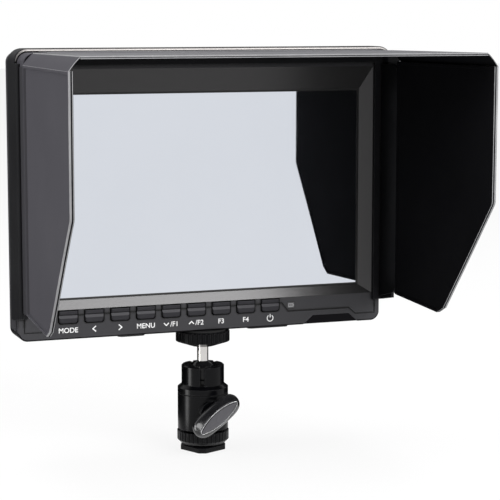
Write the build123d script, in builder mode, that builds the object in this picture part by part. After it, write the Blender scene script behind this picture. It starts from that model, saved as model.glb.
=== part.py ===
from build123d import *
from math import cos, radians, sin
import os

# Camera field monitor with a folding sun hood on a small ball head.
# Row frame: +Z up, +X to the viewer's right, the screen faces -Y.
# The origin is the centre of the shoe foot's underside, on the ball head's axis.
# All lengths are millimetres.

os.makedirs("parts", exist_ok=True)

# Fits and gaps
slide_gap = 0.3          # between pieces that slide past each other
running_gap = 0.05       # radial clearance of a shaft in its hole
fold_gap = 0.4           # between folded hood layers
press_gap = 0.02         # pieces pushed together for good

# Shoe foot and its lock ring
shoe_size = 17.6
shoe_corner = 2.5
shoe_thickness = 2.6
shoe_edge = 0.5
shoe_turn = 25.0         # the foot stands turned against the monitor
shoe_hole_radius = 3.175
shoe_post_radius = 5.0
shoe_post_grip = 5.0     # how far the post reaches into the housing
shoe_gap = 1.2           # from the foot to the washer with the ring at rest
washer_thickness = 0.5
ring_radius = 12.4
ring_height = 5.2
ring_edge = 1.0
ring_travel = 1.2        # free height between the ring and the housing
knurl_count = 36
knurl_depth = 0.45

# Ball head housing
housing_radius = 12.1
housing_height = 21.5
housing_groove_height = 0.6
housing_groove_depth = 0.5
housing_groove_drop = 4.0
housing_cone = 1.5
collet_radius = 10.2
collet_rise = 9.3        # how far the collet stands above the housing
collet_grip = 7.0        # how far it is screwed into the housing
collet_thread_radius = 8.8
collet_mouth_radius = 5.9
slit_width = 2.3
slit_count = 5
slit_turn = 250.0
ball_radius = 7.0
ball_drop = 4.7          # ball centre below the collet's rim
seat_radius = 6.6
seat_height = 8.5
seat_stem_radius = 3.4
boss_radius = 6.0
boss_reach = 14.5
clamp_height = 9.3       # screw axis above the housing's lower face
clamp_radius = 2.5
clamp_head = 6.0         # length of screw held inside the knob
clamp_tip = 1.6
knob_length = 26.4
knob_width = 11.0
knob_thickness = 6.8
knob_edge = 1.9
knob_turn = 38.0
knob_neck_radius = 4.4
knob_neck = 1.4
knob_standoff = 1.6

# Stud, locking disc and its pad
shaft_radius = 2.7
stud_radius = 3.12
stud_grip = 5.2          # thread length inside the monitor
disc_radius = 12.9
disc_height = 5.1
disc_cone = 2.4
disc_nose_radius = 5.8
disc_edge = 0.5
pad_thickness = 0.8
pad_radius = 11.4
neck_length = 9.2        # from the collet's rim to the disc's nose

# Monitor body
body_width = 180.0
body_height = 131.5
body_depth = 20.0
body_corner = 4.5
wall = 2.0
tripod_depth = 8.5       # stud axis behind the bezel's front
tripod_offset = 1.5      # stud axis to the right of the body's middle
bezel_depth = 3.2
bezel_plate = 2.0
bezel_edge = 0.8
window_side = 11.1         # bezel beside the screen opening
window_height = 95.0
window_bottom = 18.15
bevel_side = 6.7
bevel_top = 10.8
bevel_bottom = 4.3
bevel_depth = 1.6
rim_width = 2.5
groove_width = 0.7
groove_depth = 0.4
groove_height = 11.2     # line of the groove between the keys
step_low = 4.0           # the groove's low run at the right corner
step_mid = 7.0           # and its run below the bare place at the right
step_slope = 1.5
notch_start = 40.2         # from the body's right side
notch_end = 11.4
notch_slope = 5.0
notch_height = 4.3
notch_depth = 1.7        # at the bottom, from nothing at its top edge

# Keys
key_names = ["mode_button", "left_button", "right_button", "menu_button", "down_button",
             "up_button", "third_function_button", "fourth_function_button", "power_button"]
key_pitch = 12.42
key_inset = 23.4         # middle of the first key from the body's left side
key_width = 8.8
key_height = 5.7
key_middle = 10.4
key_slot_gap = 0.4
key_proud = 0.7
key_corner = 0.9
key_edge = 0.3
key_groove = 0.6
key_groove_high = 0.5    # from the groove line up to its steep wall
key_groove_low = 1.3     # and down to the foot of its gentle wall
key_travel = 0.6
key_flange = 0.7
key_flange_lip = 0.8
key_stem = 0.3
key_stem_radius = 1.6
switch_size = 4.6
switch_height = 1.5
board_thickness = 1.6
key_board_height = 7.2
key_board_margin = 7.8
post_radius = 2.4
light_width = 3.4
light_height = 2.6
light_gap = 10.74        # from the last key's middle
light_middle = 9.9

# Screen stack
glass_margin = 2.4
glass_thickness = 1.0
panel_margin = 1.2
panel_depth = 3.0
bracket_depth = 0.8
spacer_depth = 2.4
spacer_radius = 3.0
spacer_margin = 1.0
board_width = 140.0
board_height = 74.0
chip_size = 17.0
chip_depth = 2.0

# Rear cover
rear_chamfer = 3.0
rail_groove_width = 1.7
rail_groove_depth = 1.1
block_width = 104.0
block_height = 84.0
block_depth = 4.0
block_chamfer = 2.5
vent_count = 15
vent_pitch = 6.0
vent_width = 2.2
vent_length = 9.0
insert_radius = 4.5
insert_length = 6.2
insert_bore = 3.2
pad_left_width = 13.0
pad_left_middle = -35.3
pad_right_width = 20.5
pad_right_middle = 33.0
pad_front = 2.5
pad_run = 11.0
pad_drop = 0.9
pad_corner = 2.0
case_screw_radius = 1.5
case_screw_head_radius = 2.7
case_screw_head = 1.6
case_screw_inset = 8.5
case_screw_grip = 2.0     # how far each case screw reaches into the bezel
bezel_post_radius = 3.2
clamp_post_x = 60.0
clamp_post_z = 42.5

# Sockets on the right side
hdmi_length = 15.0
hdmi_height = 5.6
hdmi_depth = 11.0
hdmi_wall = 0.5
hdmi_tongue = 1.4
hdmi_tongue_inset = 1.5
hdmi_pitch = 22.0
hdmi_middle = 88.0       # first video socket above the body's bottom
jack_length = 12.0
jack_width = 9.0
jack_height = 6.4
jack_bore = 2.75
jack_pin = 1.0
jack_middle = 44.0
phone_width = 6.0
phone_height = 5.0
phone_bore = 1.8
phone_middle = 31.0

# Battery plate
plate_width = 42.0
plate_length = 72.0
plate_base = 4.0
plate_rail = 6.0
plate_rail_wall = 1.6
plate_rail_lip = 1.3
plate_lip_length = 36.0
plate_stop = 3.0
plate_screw_inset = 6.0
contact_width = 2.4
contact_length = 7.0
contact_rise = 1.4
contact_pitch = 7.0
contact_offset = 18.0
contact_count = 3
latch_width = 9.0
latch_length = 13.0
latch_rise = 1.6
latch_travel = 1.4
latch_floor = 1.0
spring_wire = 0.25
spring_radius = 2.0
spring_turns = 3.0

# Sun hood
hood_wall = 1.7
hood_round = 1.1         # on the front outer edge
hood_reach = 13.5        # side walls in front of the bezel
hood_top_reach = 7.5     # top wall in front of the bezel
hood_rear = 4.7          # rear edge behind the bezel's front
hood_foot = 10.4         # leg ends above the body's bottom
hood_foot_rise = 2.6
flange_depth = 1.5
flange_side = 85.8       # inner edge of the flange from the body's middle
flange_top = 125.7       # inner edge of the flange above the body's bottom
strip_reach = 20.0       # hinge strips in front of the bezel
strip_thickness = 1.2
strip_low = 12.3
strip_rise = 4.4
strip_high = 125.0
strip_corner = 4.5
sheet_thickness = 1.2
sheet_reach = 92.0       # hood panels in front of their hinge strips
hinge_gap = 0.6
side_splay = 1.9         # how far the open side panels lean out, in degrees
top_splay = 0.4          # and the open top panel leans up
side_top = 126.6
side_front_low = 68.2
side_tip_reach = 69.0    # low tip in front of the bezel
side_tip_height = 16.5
side_heel_reach = 63.0
side_heel_height = 13.6
side_rear_low = 15.8
side_corner = 4.0
flap_thickness = 0.6
flap_length = 3.8
flap_lean = 45.0
flap_lift = 0.3
flap_inset = 1.0

# Worked-out heights and places
ring_bottom = shoe_thickness + shoe_gap + washer_thickness
housing_bottom = ring_bottom + ring_height + ring_travel
housing_top = housing_bottom + housing_height
collet_top = housing_top + collet_rise
ball_middle = collet_top - ball_drop
disc_nose = collet_top + neck_length
disc_bottom = disc_nose + disc_cone
disc_top = disc_bottom + disc_height
body_bottom = disc_top + pad_thickness
body_x = -tripod_offset
front_y = -tripod_depth
clamp_z = housing_bottom + clamp_height
knob_back = boss_reach + knob_standoff + knob_neck
window_width = body_width - 2 * window_side
key_first = key_inset - body_width / 2
key_last = key_first + key_pitch * (len(key_names) - 1)
light_offset = key_last + light_gap
notch_left = body_width / 2 - notch_start
notch_right = body_width / 2 - notch_end
glass_front = bezel_plate
lcd_front = glass_front + glass_thickness
bracket_front = lcd_front + panel_depth
spacer_front = bracket_front + bracket_depth
board_front = spacer_front + spacer_depth
board_rear = board_front + board_thickness
key_board_front = bezel_plate + key_flange + key_stem + key_travel + running_gap + switch_height
window_middle = window_bottom + window_height / 2
strip_outer = body_width / 2 + slide_gap
panel_inner = strip_outer - strip_thickness
sheet_rear = -strip_reach - hinge_gap
sheet_front = -strip_reach - sheet_reach
left_layer = fold_gap
right_layer = left_layer + sheet_thickness + fold_gap + flap_thickness + flap_lift
top_layer = right_layer + sheet_thickness + fold_gap
hood_outer_width = body_width + 2 * (slide_gap + hood_wall)
hood_top = body_height + slide_gap + hood_wall
strip_top = body_height + slide_gap
top_under = strip_top - sheet_thickness
flap_foot = side_top + flap_lift
top_half_width = panel_inner - flap_length * sin(radians(flap_lean)) - fold_gap
top_front_half_width = panel_inner - fold_gap
block_rear = body_depth + block_depth
plate_middle = body_height / 2


# A plane parallel to the screen, a depth behind the bezel's front. Its own x and y are the
# places from the body's middle and above the body's bottom, and it faces the viewer.
def body_plane(depth):
    return Plane(origin=(body_x, front_y + depth, body_bottom), x_dir=(1, 0, 0), z_dir=(0, -1, 0))


# A plane across the body at a place from its middle, facing right. Its own x runs to the rear
# from the bezel's front and its own y is the height above the body's bottom.
def side_plane(place):
    return Plane(origin=(body_x + place, front_y, body_bottom), x_dir=(0, 1, 0), z_dir=(1, 0, 0))


def save(piece, name):
    piece.label = name
    export_step(piece, f"parts/{name}.step")


# ---- Ball head ----

with BuildPart() as shoe_foot:
    with BuildSketch(Plane.XY):
        foot = Rectangle(shoe_size, shoe_size, rotation=shoe_turn)
        chamfer(foot.vertices(), shoe_corner)
    extrude(amount=shoe_thickness)
    chamfer(shoe_foot.faces().sort_by(Axis.Z)[-1].edges(), shoe_edge)
    with BuildSketch(Plane.XY.offset(shoe_thickness)):
        Circle(shoe_post_radius)
    extrude(amount=housing_bottom - shoe_thickness + shoe_post_grip)
    with BuildSketch(Plane.XY):
        Circle(shoe_hole_radius)
    extrude(amount=housing_bottom, mode=Mode.SUBTRACT)
save(shoe_foot.part, "shoe_foot")

with BuildPart() as shoe_washer:
    with BuildSketch(Plane.XY.offset(ring_bottom - washer_thickness)):
        Circle(ring_radius - ring_edge - knurl_depth)
        Circle(shoe_post_radius + running_gap, mode=Mode.SUBTRACT)
    extrude(amount=washer_thickness)
save(shoe_washer.part, "shoe_washer")

with BuildPart() as shoe_lock_ring:
    with BuildSketch(Plane.XY.offset(ring_bottom)):
        Circle(ring_radius)
    extrude(amount=ring_height)
    chamfer(shoe_lock_ring.faces().sort_by(Axis.Z)[0].edges(), ring_edge)
    with BuildSketch(Plane.XY.offset(ring_bottom)):
        with PolarLocations(ring_radius, knurl_count):
            Circle(knurl_depth)
    extrude(amount=ring_height, mode=Mode.SUBTRACT)
    with BuildSketch(Plane.XY.offset(ring_bottom)):
        Circle(shoe_post_radius + running_gap)
    extrude(amount=ring_height, mode=Mode.SUBTRACT)
save(shoe_lock_ring.part, "shoe_lock_ring")

# The housing is turned from bar, with a groove below its collar and a boss for the clamp screw.
groove_top = housing_top - housing_groove_drop
cone_bottom = housing_top - housing_cone
seat_bottom = ball_middle - seat_height
stem_bottom = clamp_z + clamp_radius + slide_gap
with BuildPart() as head_housing:
    with BuildSketch(Plane.XZ):
        with BuildLine():
            Polyline(
                (0, housing_bottom),
                (housing_radius, housing_bottom),
                (housing_radius, groove_top - housing_groove_height),
                (housing_radius - housing_groove_depth, groove_top - housing_groove_height),
                (housing_radius - housing_groove_depth, groove_top),
                (housing_radius, groove_top),
                (housing_radius, cone_bottom),
                (collet_radius, housing_top),
                (0, housing_top),
                close=True,
            )
        make_face()
    revolve(axis=Axis.Z)
    with BuildSketch(Plane(origin=(0, -boss_reach, clamp_z), z_dir=(0, -1, 0))):
        Circle(boss_radius)
    extrude(amount=-boss_reach)
    with BuildSketch(Plane.XY.offset(housing_top)):
        Circle(collet_thread_radius + press_gap)
    extrude(amount=-collet_grip, mode=Mode.SUBTRACT)
    with BuildSketch(Plane.XY.offset(housing_top)):
        Circle(seat_stem_radius + slide_gap)
    extrude(amount=-(housing_top - clamp_z), mode=Mode.SUBTRACT)
    with BuildSketch(Plane.XY.offset(housing_bottom)):
        Circle(shoe_post_radius + press_gap)
    extrude(amount=shoe_post_grip + press_gap, mode=Mode.SUBTRACT)
    with BuildSketch(Plane(origin=(0, -boss_reach, clamp_z), z_dir=(0, -1, 0))):
        Circle(clamp_radius + running_gap)
    extrude(amount=-(boss_reach + clamp_radius), mode=Mode.SUBTRACT)
save(head_housing.part, "head_housing")

# The collet's fingers reach over the ball and are parted by slits.
with BuildPart() as ball_collet:
    with BuildSketch(Plane.XY.offset(housing_top)):
        Circle(collet_radius)
    extrude(amount=collet_rise)
    chamfer(ball_collet.faces().sort_by(Axis.Z)[-1].edges(), shoe_edge)
    with BuildSketch(Plane.XY.offset(housing_top)):
        Circle(collet_thread_radius)
    extrude(amount=-collet_grip)
    with BuildSketch(Plane.XY.offset(housing_top - collet_grip)):
        Circle(ball_radius + running_gap)
    extrude(amount=ball_middle - housing_top + collet_grip, mode=Mode.SUBTRACT)
    with BuildSketch(Plane.XY.offset(ball_middle)):
        Circle(collet_mouth_radius)
    extrude(amount=ball_drop, mode=Mode.SUBTRACT)
    with Locations((0, 0, ball_middle)):
        Sphere(ball_radius + running_gap, mode=Mode.SUBTRACT)
    with BuildSketch(Plane.XY.offset(housing_top)):
        with PolarLocations(collet_radius, slit_count, start_angle=slit_turn):
            Rectangle(collet_radius, slit_width)
    extrude(amount=collet_rise, mode=Mode.SUBTRACT)
save(ball_collet.part, "ball_collet")

with BuildPart() as ball_seat:
    with BuildSketch(Plane.XY.offset(seat_bottom)):
        Circle(seat_radius)
    extrude(amount=seat_height)
    with BuildSketch(Plane.XY.offset(seat_bottom)):
        Circle(seat_stem_radius)
    extrude(amount=-(seat_bottom - stem_bottom))
    with Locations((0, 0, ball_middle)):
        Sphere(ball_radius + running_gap, mode=Mode.SUBTRACT)
save(ball_seat.part, "ball_seat")

with BuildPart() as ball:
    with Locations((0, 0, ball_middle)):
        Sphere(ball_radius)
    with BuildSketch(Plane.XY.offset(ball_middle)):
        Circle(shaft_radius + press_gap)
    extrude(amount=ball_radius, mode=Mode.SUBTRACT)
save(ball.part, "ball")

with BuildPart() as stud_screw:
    with BuildSketch(Plane.XY.offset(ball_middle)):
        Circle(shaft_radius)
    extrude(amount=disc_nose - ball_middle)
    with BuildSketch(Plane.XY.offset(disc_nose)):
        Circle(stud_radius)
    extrude(amount=body_bottom - disc_nose + stud_grip)
    chamfer(stud_screw.faces().sort_by(Axis.Z)[-1].edges(), shoe_edge)
save(stud_screw.part, "stud_screw")

with BuildPart() as locking_disc:
    with BuildSketch(Plane.XZ):
        with BuildLine():
            Polyline(
                (0, disc_nose),
                (disc_nose_radius, disc_nose),
                (disc_radius, disc_bottom),
                (disc_radius, disc_top - disc_edge),
                (disc_radius - disc_edge, disc_top),
                (0, disc_top),
                close=True,
            )
        make_face()
    revolve(axis=Axis.Z)
    with BuildSketch(Plane.XY.offset(disc_nose)):
        with PolarLocations(disc_radius, knurl_count):
            Circle(knurl_depth)
    extrude(amount=disc_top - disc_nose, mode=Mode.SUBTRACT)
    with BuildSketch(Plane.XY.offset(disc_nose)):
        Circle(stud_radius + running_gap)
    extrude(amount=disc_top - disc_nose, mode=Mode.SUBTRACT)
save(locking_disc.part, "locking_disc")

with BuildPart() as disc_pad:
    with BuildSketch(Plane.XY.offset(disc_top)):
        Circle(pad_radius)
        Circle(stud_radius + running_gap, mode=Mode.SUBTRACT)
    extrude(amount=pad_thickness)
save(disc_pad.part, "disc_pad")

# The clamp screw lies along -Y. Its cone tip lifts the seat's stem.
with BuildPart() as clamp_screw:
    with BuildSketch(Plane(origin=(0, 0, clamp_z), z_dir=(0, -1, 0))):
        Circle(clamp_radius)
    extrude(amount=knob_back + clamp_head - knob_neck)
    chamfer(clamp_screw.faces().sort_by(Axis.Y)[-1].edges(), clamp_tip)
save(clamp_screw.part, "clamp_screw")

# The wing knob is a round-ended paddle with a short neck and a blind hole for the screw.
with BuildPart() as wing_knob:
    with BuildSketch(Plane(origin=(0, -knob_back, clamp_z), x_dir=(1, 0, 0), z_dir=(0, -1, 0))):
        SlotOverall(knob_length, knob_width, rotation=knob_turn)
    extrude(amount=knob_thickness)
    fillet(wing_knob.faces().sort_by(Axis.Y)[0].edges(), knob_edge)
    fillet(wing_knob.faces().sort_by(Axis.Y)[-1].edges(), knob_edge)
    with BuildSketch(Plane(origin=(0, -knob_back, clamp_z), z_dir=(0, -1, 0))):
        Circle(knob_neck_radius)
    extrude(amount=-knob_neck)
    with BuildSketch(Plane(origin=(0, -knob_back + knob_neck, clamp_z), z_dir=(0, -1, 0))):
        Circle(clamp_radius + running_gap)
    extrude(amount=clamp_head + slide_gap, mode=Mode.SUBTRACT)
save(wing_knob.part, "wing_knob")

# ---- Monitor ----

# The thumb notch slopes back towards the bezel's bottom edge.
with BuildPart() as thumb_notch:
    with BuildSketch(body_plane(notch_depth)):
        with BuildLine():
            Polyline(
                (notch_left, 0),
                (notch_left + notch_slope, notch_height),
                (notch_right - notch_slope, notch_height),
                (notch_right, 0),
                close=True,
            )
        make_face()
    extrude(amount=notch_depth)
    with BuildSketch(side_plane(notch_left)):
        with BuildLine():
            Polyline((0, 0), (notch_depth, 0), (0, notch_height), close=True)
        make_face()
    extrude(amount=notch_right - notch_left, mode=Mode.INTERSECT)

# The front bezel: a plate with a bevelled window, a row of key slots, grooves and a thumb notch.
slot_width = key_width + 2 * key_slot_gap
slot_height = key_height + 2 * key_slot_gap
groove_x = body_width / 2 - rim_width - groove_width / 2
post_places = [key_first - key_board_margin, light_offset + key_board_margin]
screw_x = body_width / 2 - case_screw_inset
screw_z = body_height / 2 - case_screw_inset
with BuildPart() as front_bezel:
    with BuildSketch(body_plane(bezel_depth)):
        with Locations((0, body_height / 2)):
            RectangleRounded(body_width, body_height, body_corner)
    extrude(amount=bezel_depth)
    fillet(front_bezel.faces().sort_by(Axis.Y)[0].edges(), bezel_edge)
    with BuildSketch(body_plane(bezel_depth)):
        with Locations((0, body_height / 2)):
            RectangleRounded(body_width - 2 * wall, body_height - 2 * wall, body_corner - wall)
    extrude(amount=bezel_depth - bezel_plate, mode=Mode.SUBTRACT)
    with BuildSketch(body_plane(0)):
        with Locations((0, window_middle + (bevel_top - bevel_bottom) / 2)):
            Rectangle(window_width + 2 * bevel_side, window_height + bevel_top + bevel_bottom)
    with BuildSketch(body_plane(bevel_depth)):
        with Locations((0, window_middle)):
            Rectangle(window_width, window_height)
    loft(mode=Mode.SUBTRACT)
    with BuildSketch(body_plane(bezel_plate)):
        with Locations((0, window_middle)):
            Rectangle(window_width, window_height)
    extrude(amount=bezel_plate, mode=Mode.SUBTRACT)
    with BuildSketch(body_plane(bezel_plate)) as slots:
        for i in range(len(key_names)):
            with Locations((key_first + i * key_pitch, key_middle)):
                Rectangle(slot_width, slot_height)
        chamfer(slots.vertices().group_by(Axis.Y)[0], key_corner)
    extrude(amount=bezel_plate, mode=Mode.SUBTRACT)
    with BuildSketch(body_plane(bezel_plate)):
        with Locations((light_offset, light_middle)):
            Rectangle(light_width, light_height)
    extrude(amount=bezel_plate, mode=Mode.SUBTRACT)
    with BuildSketch(body_plane(groove_depth)):
        with BuildLine():
            Polyline((key_first, groove_height), (key_last, groove_height))
        trace(line_width=groove_width)
        with BuildLine():
            Polyline(
                (key_last, groove_height),
                (key_last + key_width / 2 + step_slope, groove_height),
                (light_offset - step_slope, step_mid),
                (notch_right - notch_slope, step_mid),
                (notch_right - step_slope, step_low),
                (groove_x, step_low),
                (groove_x, body_height - rim_width),
            )
        trace(line_width=groove_width)
        with BuildLine():
            Polyline(
                (key_first, groove_height),
                (key_first - key_width, groove_height),
                (key_first - key_width - step_low, step_low),
                (-groove_x, step_low),
                (-groove_x, body_height - rim_width),
            )
        trace(line_width=groove_width)
    extrude(amount=groove_depth, mode=Mode.SUBTRACT)
    add(thumb_notch.part, mode=Mode.SUBTRACT)
    # posts that carry the key board
    with BuildSketch(body_plane(bezel_plate)):
        with Locations([(place, key_middle) for place in post_places]):
            Circle(post_radius)
    extrude(amount=-(key_board_front - bezel_plate))
    # posts that the case screws are driven into
    with BuildSketch(body_plane(bezel_plate)):
        with Locations((0, body_height / 2)):
            with GridLocations(2 * screw_x, 2 * screw_z, 2, 2):
                Circle(bezel_post_radius)
    extrude(amount=-(bezel_depth - bezel_plate))
    with BuildSketch(body_plane(bezel_depth)):
        with Locations((0, body_height / 2)):
            with GridLocations(2 * screw_x, 2 * screw_z, 2, 2):
                Circle(case_screw_radius + press_gap)
    extrude(amount=case_screw_grip + press_gap, mode=Mode.SUBTRACT)
save(front_bezel.part, "front_bezel")

with BuildPart() as screen_glass:
    with BuildSketch(body_plane(lcd_front)):
        with Locations((0, window_middle)):
            Rectangle(window_width + 2 * glass_margin, window_height + 2 * glass_margin - wall)
    extrude(amount=glass_thickness)
save(screen_glass.part, "screen_glass")

with BuildPart() as lcd_panel:
    with BuildSketch(body_plane(bracket_front)):
        with Locations((0, window_middle)):
            Rectangle(window_width + 2 * panel_margin, window_height + 2 * panel_margin - wall)
    extrude(amount=panel_depth)
save(lcd_panel.part, "lcd_panel")

# A steel tray behind the panel, with spacers that hold the main board.
spacer_x = board_width / 2 - spacer_radius - spacer_margin
spacer_z = board_height / 2 - spacer_radius - spacer_margin
with BuildPart() as panel_bracket:
    with BuildSketch(body_plane(spacer_front)):
        with Locations((0, window_middle)):
            Rectangle(window_width + 2 * panel_margin, window_height + 2 * panel_margin - wall)
    extrude(amount=bracket_depth)
    with BuildSketch(body_plane(board_front)):
        with Locations((0, window_middle)):
            with GridLocations(2 * spacer_x, 2 * spacer_z, 2, 2):
                Circle(spacer_radius)
                Circle(case_screw_radius, mode=Mode.SUBTRACT)
    extrude(amount=spacer_depth)
save(panel_bracket.part, "panel_bracket")

# The main board reaches the right wall, where its sockets stand.
socket_face = body_width / 2
board_right = socket_face - wall - slide_gap
board_left = -board_width / 2
board_middle = (board_left + board_right) / 2
with BuildPart() as main_board:
    with BuildSketch(body_plane(board_rear)):
        with Locations((board_middle, window_middle)):
            Rectangle(board_right - board_left, board_height)
        with Locations((0, window_middle)):
            with GridLocations(2 * spacer_x, 2 * spacer_z, 2, 2):
                Circle(case_screw_radius + press_gap, mode=Mode.SUBTRACT)
    extrude(amount=board_thickness)
    with BuildSketch(body_plane(board_rear)):
        with Locations((-chip_size, window_middle), (chip_size, window_middle + chip_size / 2)):
            Rectangle(chip_size, chip_size)
    extrude(amount=-chip_depth)
save(main_board.part, "main_board")

with BuildPart() as board_screws:
    with BuildSketch(body_plane(board_rear)):
        with Locations((0, window_middle)):
            with GridLocations(2 * spacer_x, 2 * spacer_z, 2, 2):
                Circle(case_screw_radius - running_gap)
    extrude(amount=board_thickness + spacer_depth)
    with BuildSketch(body_plane(board_rear)):
        with Locations((0, window_middle)):
            with GridLocations(2 * spacer_x, 2 * spacer_z, 2, 2):
                Circle(case_screw_head_radius)
    extrude(amount=-case_screw_head)
save(board_screws.part, "board_screws")

# The key board stands on the bezel's posts and carries one switch behind each key.
key_board_width = post_places[1] - post_places[0] + 2 * post_radius
with BuildPart() as key_board:
    with BuildSketch(body_plane(key_board_front + board_thickness)):
        with Locations((sum(post_places) / 2, key_middle)):
            Rectangle(key_board_width, key_board_height)
    extrude(amount=board_thickness)
save(key_board.part, "key_board")

with BuildPart() as key_switches:
    with BuildSketch(body_plane(key_board_front)):
        for i in range(len(key_names)):
            with Locations((key_first + i * key_pitch, key_middle)):
                Rectangle(switch_size, switch_size)
    extrude(amount=switch_height)
save(key_switches.part, "key_switches")

# Each key has a grooved face, a flange behind the plate and a stem over its switch.
for i, name in enumerate(key_names):
    key_x = key_first + i * key_pitch
    with BuildPart() as key:
        with BuildSketch(body_plane(bezel_plate)) as face:
            with Locations((key_x, key_middle)):
                Rectangle(key_width, key_height)
            chamfer(face.vertices().group_by(Axis.Y)[0], key_corner)
        extrude(amount=bezel_plate + key_proud)
        chamfer(key.faces().sort_by(Axis.Y)[0].edges(), key_edge)
        with BuildSketch(side_plane(key_x - key_width / 2)):
            with BuildLine():
                Polyline(
                    (-key_proud, groove_height + key_groove_high),
                    (key_groove - key_proud, groove_height),
                    (-key_proud, groove_height - key_groove_low),
                    close=True,
                )
            make_face()
        extrude(amount=key_width, mode=Mode.SUBTRACT)
        with BuildSketch(body_plane(bezel_plate + key_flange)):
            with Locations((key_x, key_middle)):
                Rectangle(key_width + 2 * key_flange_lip, key_height + 2 * key_flange_lip)
        extrude(amount=key_flange)
        with BuildSketch(body_plane(bezel_plate + key_flange)):
            with Locations((key_x, key_middle)):
                Circle(key_stem_radius)
        extrude(amount=-key_stem)
    save(key.part, name)

with BuildPart() as battery_light:
    with BuildSketch(body_plane(bezel_plate)):
        with Locations((light_offset, light_middle)):
            Rectangle(light_width - 2 * press_gap, light_height - 2 * press_gap)
    extrude(amount=bezel_plate - press_gap)
    with BuildSketch(body_plane(bezel_plate + key_flange)):
        with Locations((light_offset, light_middle)):
            Rectangle(light_width + key_flange, light_height + key_flange)
    extrude(amount=key_flange)
save(battery_light.part, "battery_light")

# The rear cover: a deep tray with a raised block, vents, socket cut-outs and screw posts.
socket_depth = board_rear + hdmi_height / 2
straight_depth = body_depth - wall - rear_chamfer
hdmi_places = [hdmi_middle, hdmi_middle - hdmi_pitch]
inner_width = body_width - 2 * wall
inner_height = body_height - 2 * wall
with BuildPart() as rear_cover:
    with BuildSketch(body_plane(body_depth)):
        with Locations((0, body_height / 2)):
            RectangleRounded(body_width, body_height, body_corner)
    extrude(amount=body_depth - bezel_depth)
    chamfer(rear_cover.faces().sort_by(Axis.Y)[-1].edges(), rear_chamfer)
    with BuildSketch(body_plane(block_rear)):
        with Locations((0, plate_middle)):
            RectangleRounded(block_width, block_height, body_corner)
    extrude(amount=block_depth)
    chamfer(rear_cover.faces().sort_by(Axis.Y)[-1].edges(), block_chamfer)
    with BuildSketch(body_plane(straight_depth)):
        with Locations((0, body_height / 2)):
            RectangleRounded(inner_width, inner_height, body_corner)
    extrude(amount=straight_depth - bezel_depth, mode=Mode.SUBTRACT)
    with BuildSketch(body_plane(body_depth - wall)):
        with Locations((0, body_height / 2)):
            RectangleRounded(inner_width - 2 * rear_chamfer, inner_height - 2 * rear_chamfer, body_corner)
    with BuildSketch(body_plane(straight_depth)):
        with Locations((0, body_height / 2)):
            RectangleRounded(inner_width, inner_height, body_corner)
    loft(mode=Mode.SUBTRACT)
    # grooves that guide the hood's legs
    with BuildSketch(body_plane(bezel_depth + rail_groove_width)):
        with Locations((-body_width / 2, body_height / 2), (body_width / 2, body_height / 2)):
            Rectangle(2 * rail_groove_depth, body_height)
    extrude(amount=rail_groove_width, mode=Mode.SUBTRACT)
    # vents in two rows, above and below the block
    with BuildSketch(body_plane(body_depth)):
        with Locations((0, (body_height + plate_middle + block_height / 2) / 2),
                       (0, (plate_middle - block_height / 2) / 2)):
            with GridLocations(vent_pitch, 0, vent_count, 1):
                SlotOverall(vent_length, vent_width, rotation=90)
    extrude(amount=wall, mode=Mode.SUBTRACT)
    # boss and hole for the tripod insert
    with BuildSketch(Plane.XY.offset(body_bottom)):
        Circle(insert_radius + wall)
    extrude(amount=insert_length)
    with BuildSketch(body_plane(bezel_depth)):
        with Locations((tripod_offset, insert_length / 2)):
            Rectangle(2 * (insert_radius + wall), insert_length)
    extrude(amount=bezel_depth, mode=Mode.SUBTRACT)
    with BuildSketch(Plane.XY.offset(body_bottom)):
        Circle(insert_radius + press_gap)
    extrude(amount=insert_length, mode=Mode.SUBTRACT)
    # posts for the case screws and posts that press on the tray
    with BuildSketch(body_plane(bezel_depth)):
        with Locations((0, body_height / 2)):
            with GridLocations(2 * screw_x, 2 * screw_z, 2, 2):
                Circle(case_screw_head_radius + wall / 2)
    extrude(amount=-(body_depth - bezel_depth - wall))
    with BuildSketch(body_plane(spacer_front)):
        with Locations((0, window_middle)):
            with GridLocations(2 * clamp_post_x, 2 * clamp_post_z, 2, 2):
                Circle(post_radius)
    extrude(amount=-(body_depth - spacer_front - wall))
    with BuildSketch(body_plane(body_depth)):
        with Locations((0, body_height / 2)):
            with GridLocations(2 * screw_x, 2 * screw_z, 2, 2):
                Circle(case_screw_head_radius + slide_gap)
    extrude(amount=wall + case_screw_head, mode=Mode.SUBTRACT)
    with BuildSketch(body_plane(body_depth)):
        with Locations((0, body_height / 2)):
            with GridLocations(2 * screw_x, 2 * screw_z, 2, 2):
                Circle(case_screw_radius + press_gap)
    extrude(amount=body_depth - bezel_depth, mode=Mode.SUBTRACT)
    # socket cut-outs in the right wall
    with BuildSketch(side_plane(socket_face)):
        with Locations([(socket_depth, place) for place in hdmi_places]):
            Rectangle(hdmi_height + 2 * press_gap, hdmi_length + 2 * press_gap)
        with Locations((board_rear + jack_height / 2, jack_middle)):
            Rectangle(jack_height + 2 * press_gap, jack_width + 2 * press_gap)
        with Locations((board_rear + phone_height / 2, phone_middle)):
            Rectangle(phone_height + 2 * press_gap, phone_width + 2 * press_gap)
    extrude(amount=-(wall + rear_chamfer), mode=Mode.SUBTRACT)
    # hollow of the block
    with BuildSketch(body_plane(block_rear - wall)):
        with Locations((0, plate_middle)):
            Rectangle(block_width - 2 * wall - block_chamfer, block_height - 2 * wall - block_chamfer)
    extrude(amount=block_depth, mode=Mode.SUBTRACT)
save(rear_cover.part, "rear_cover")

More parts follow.
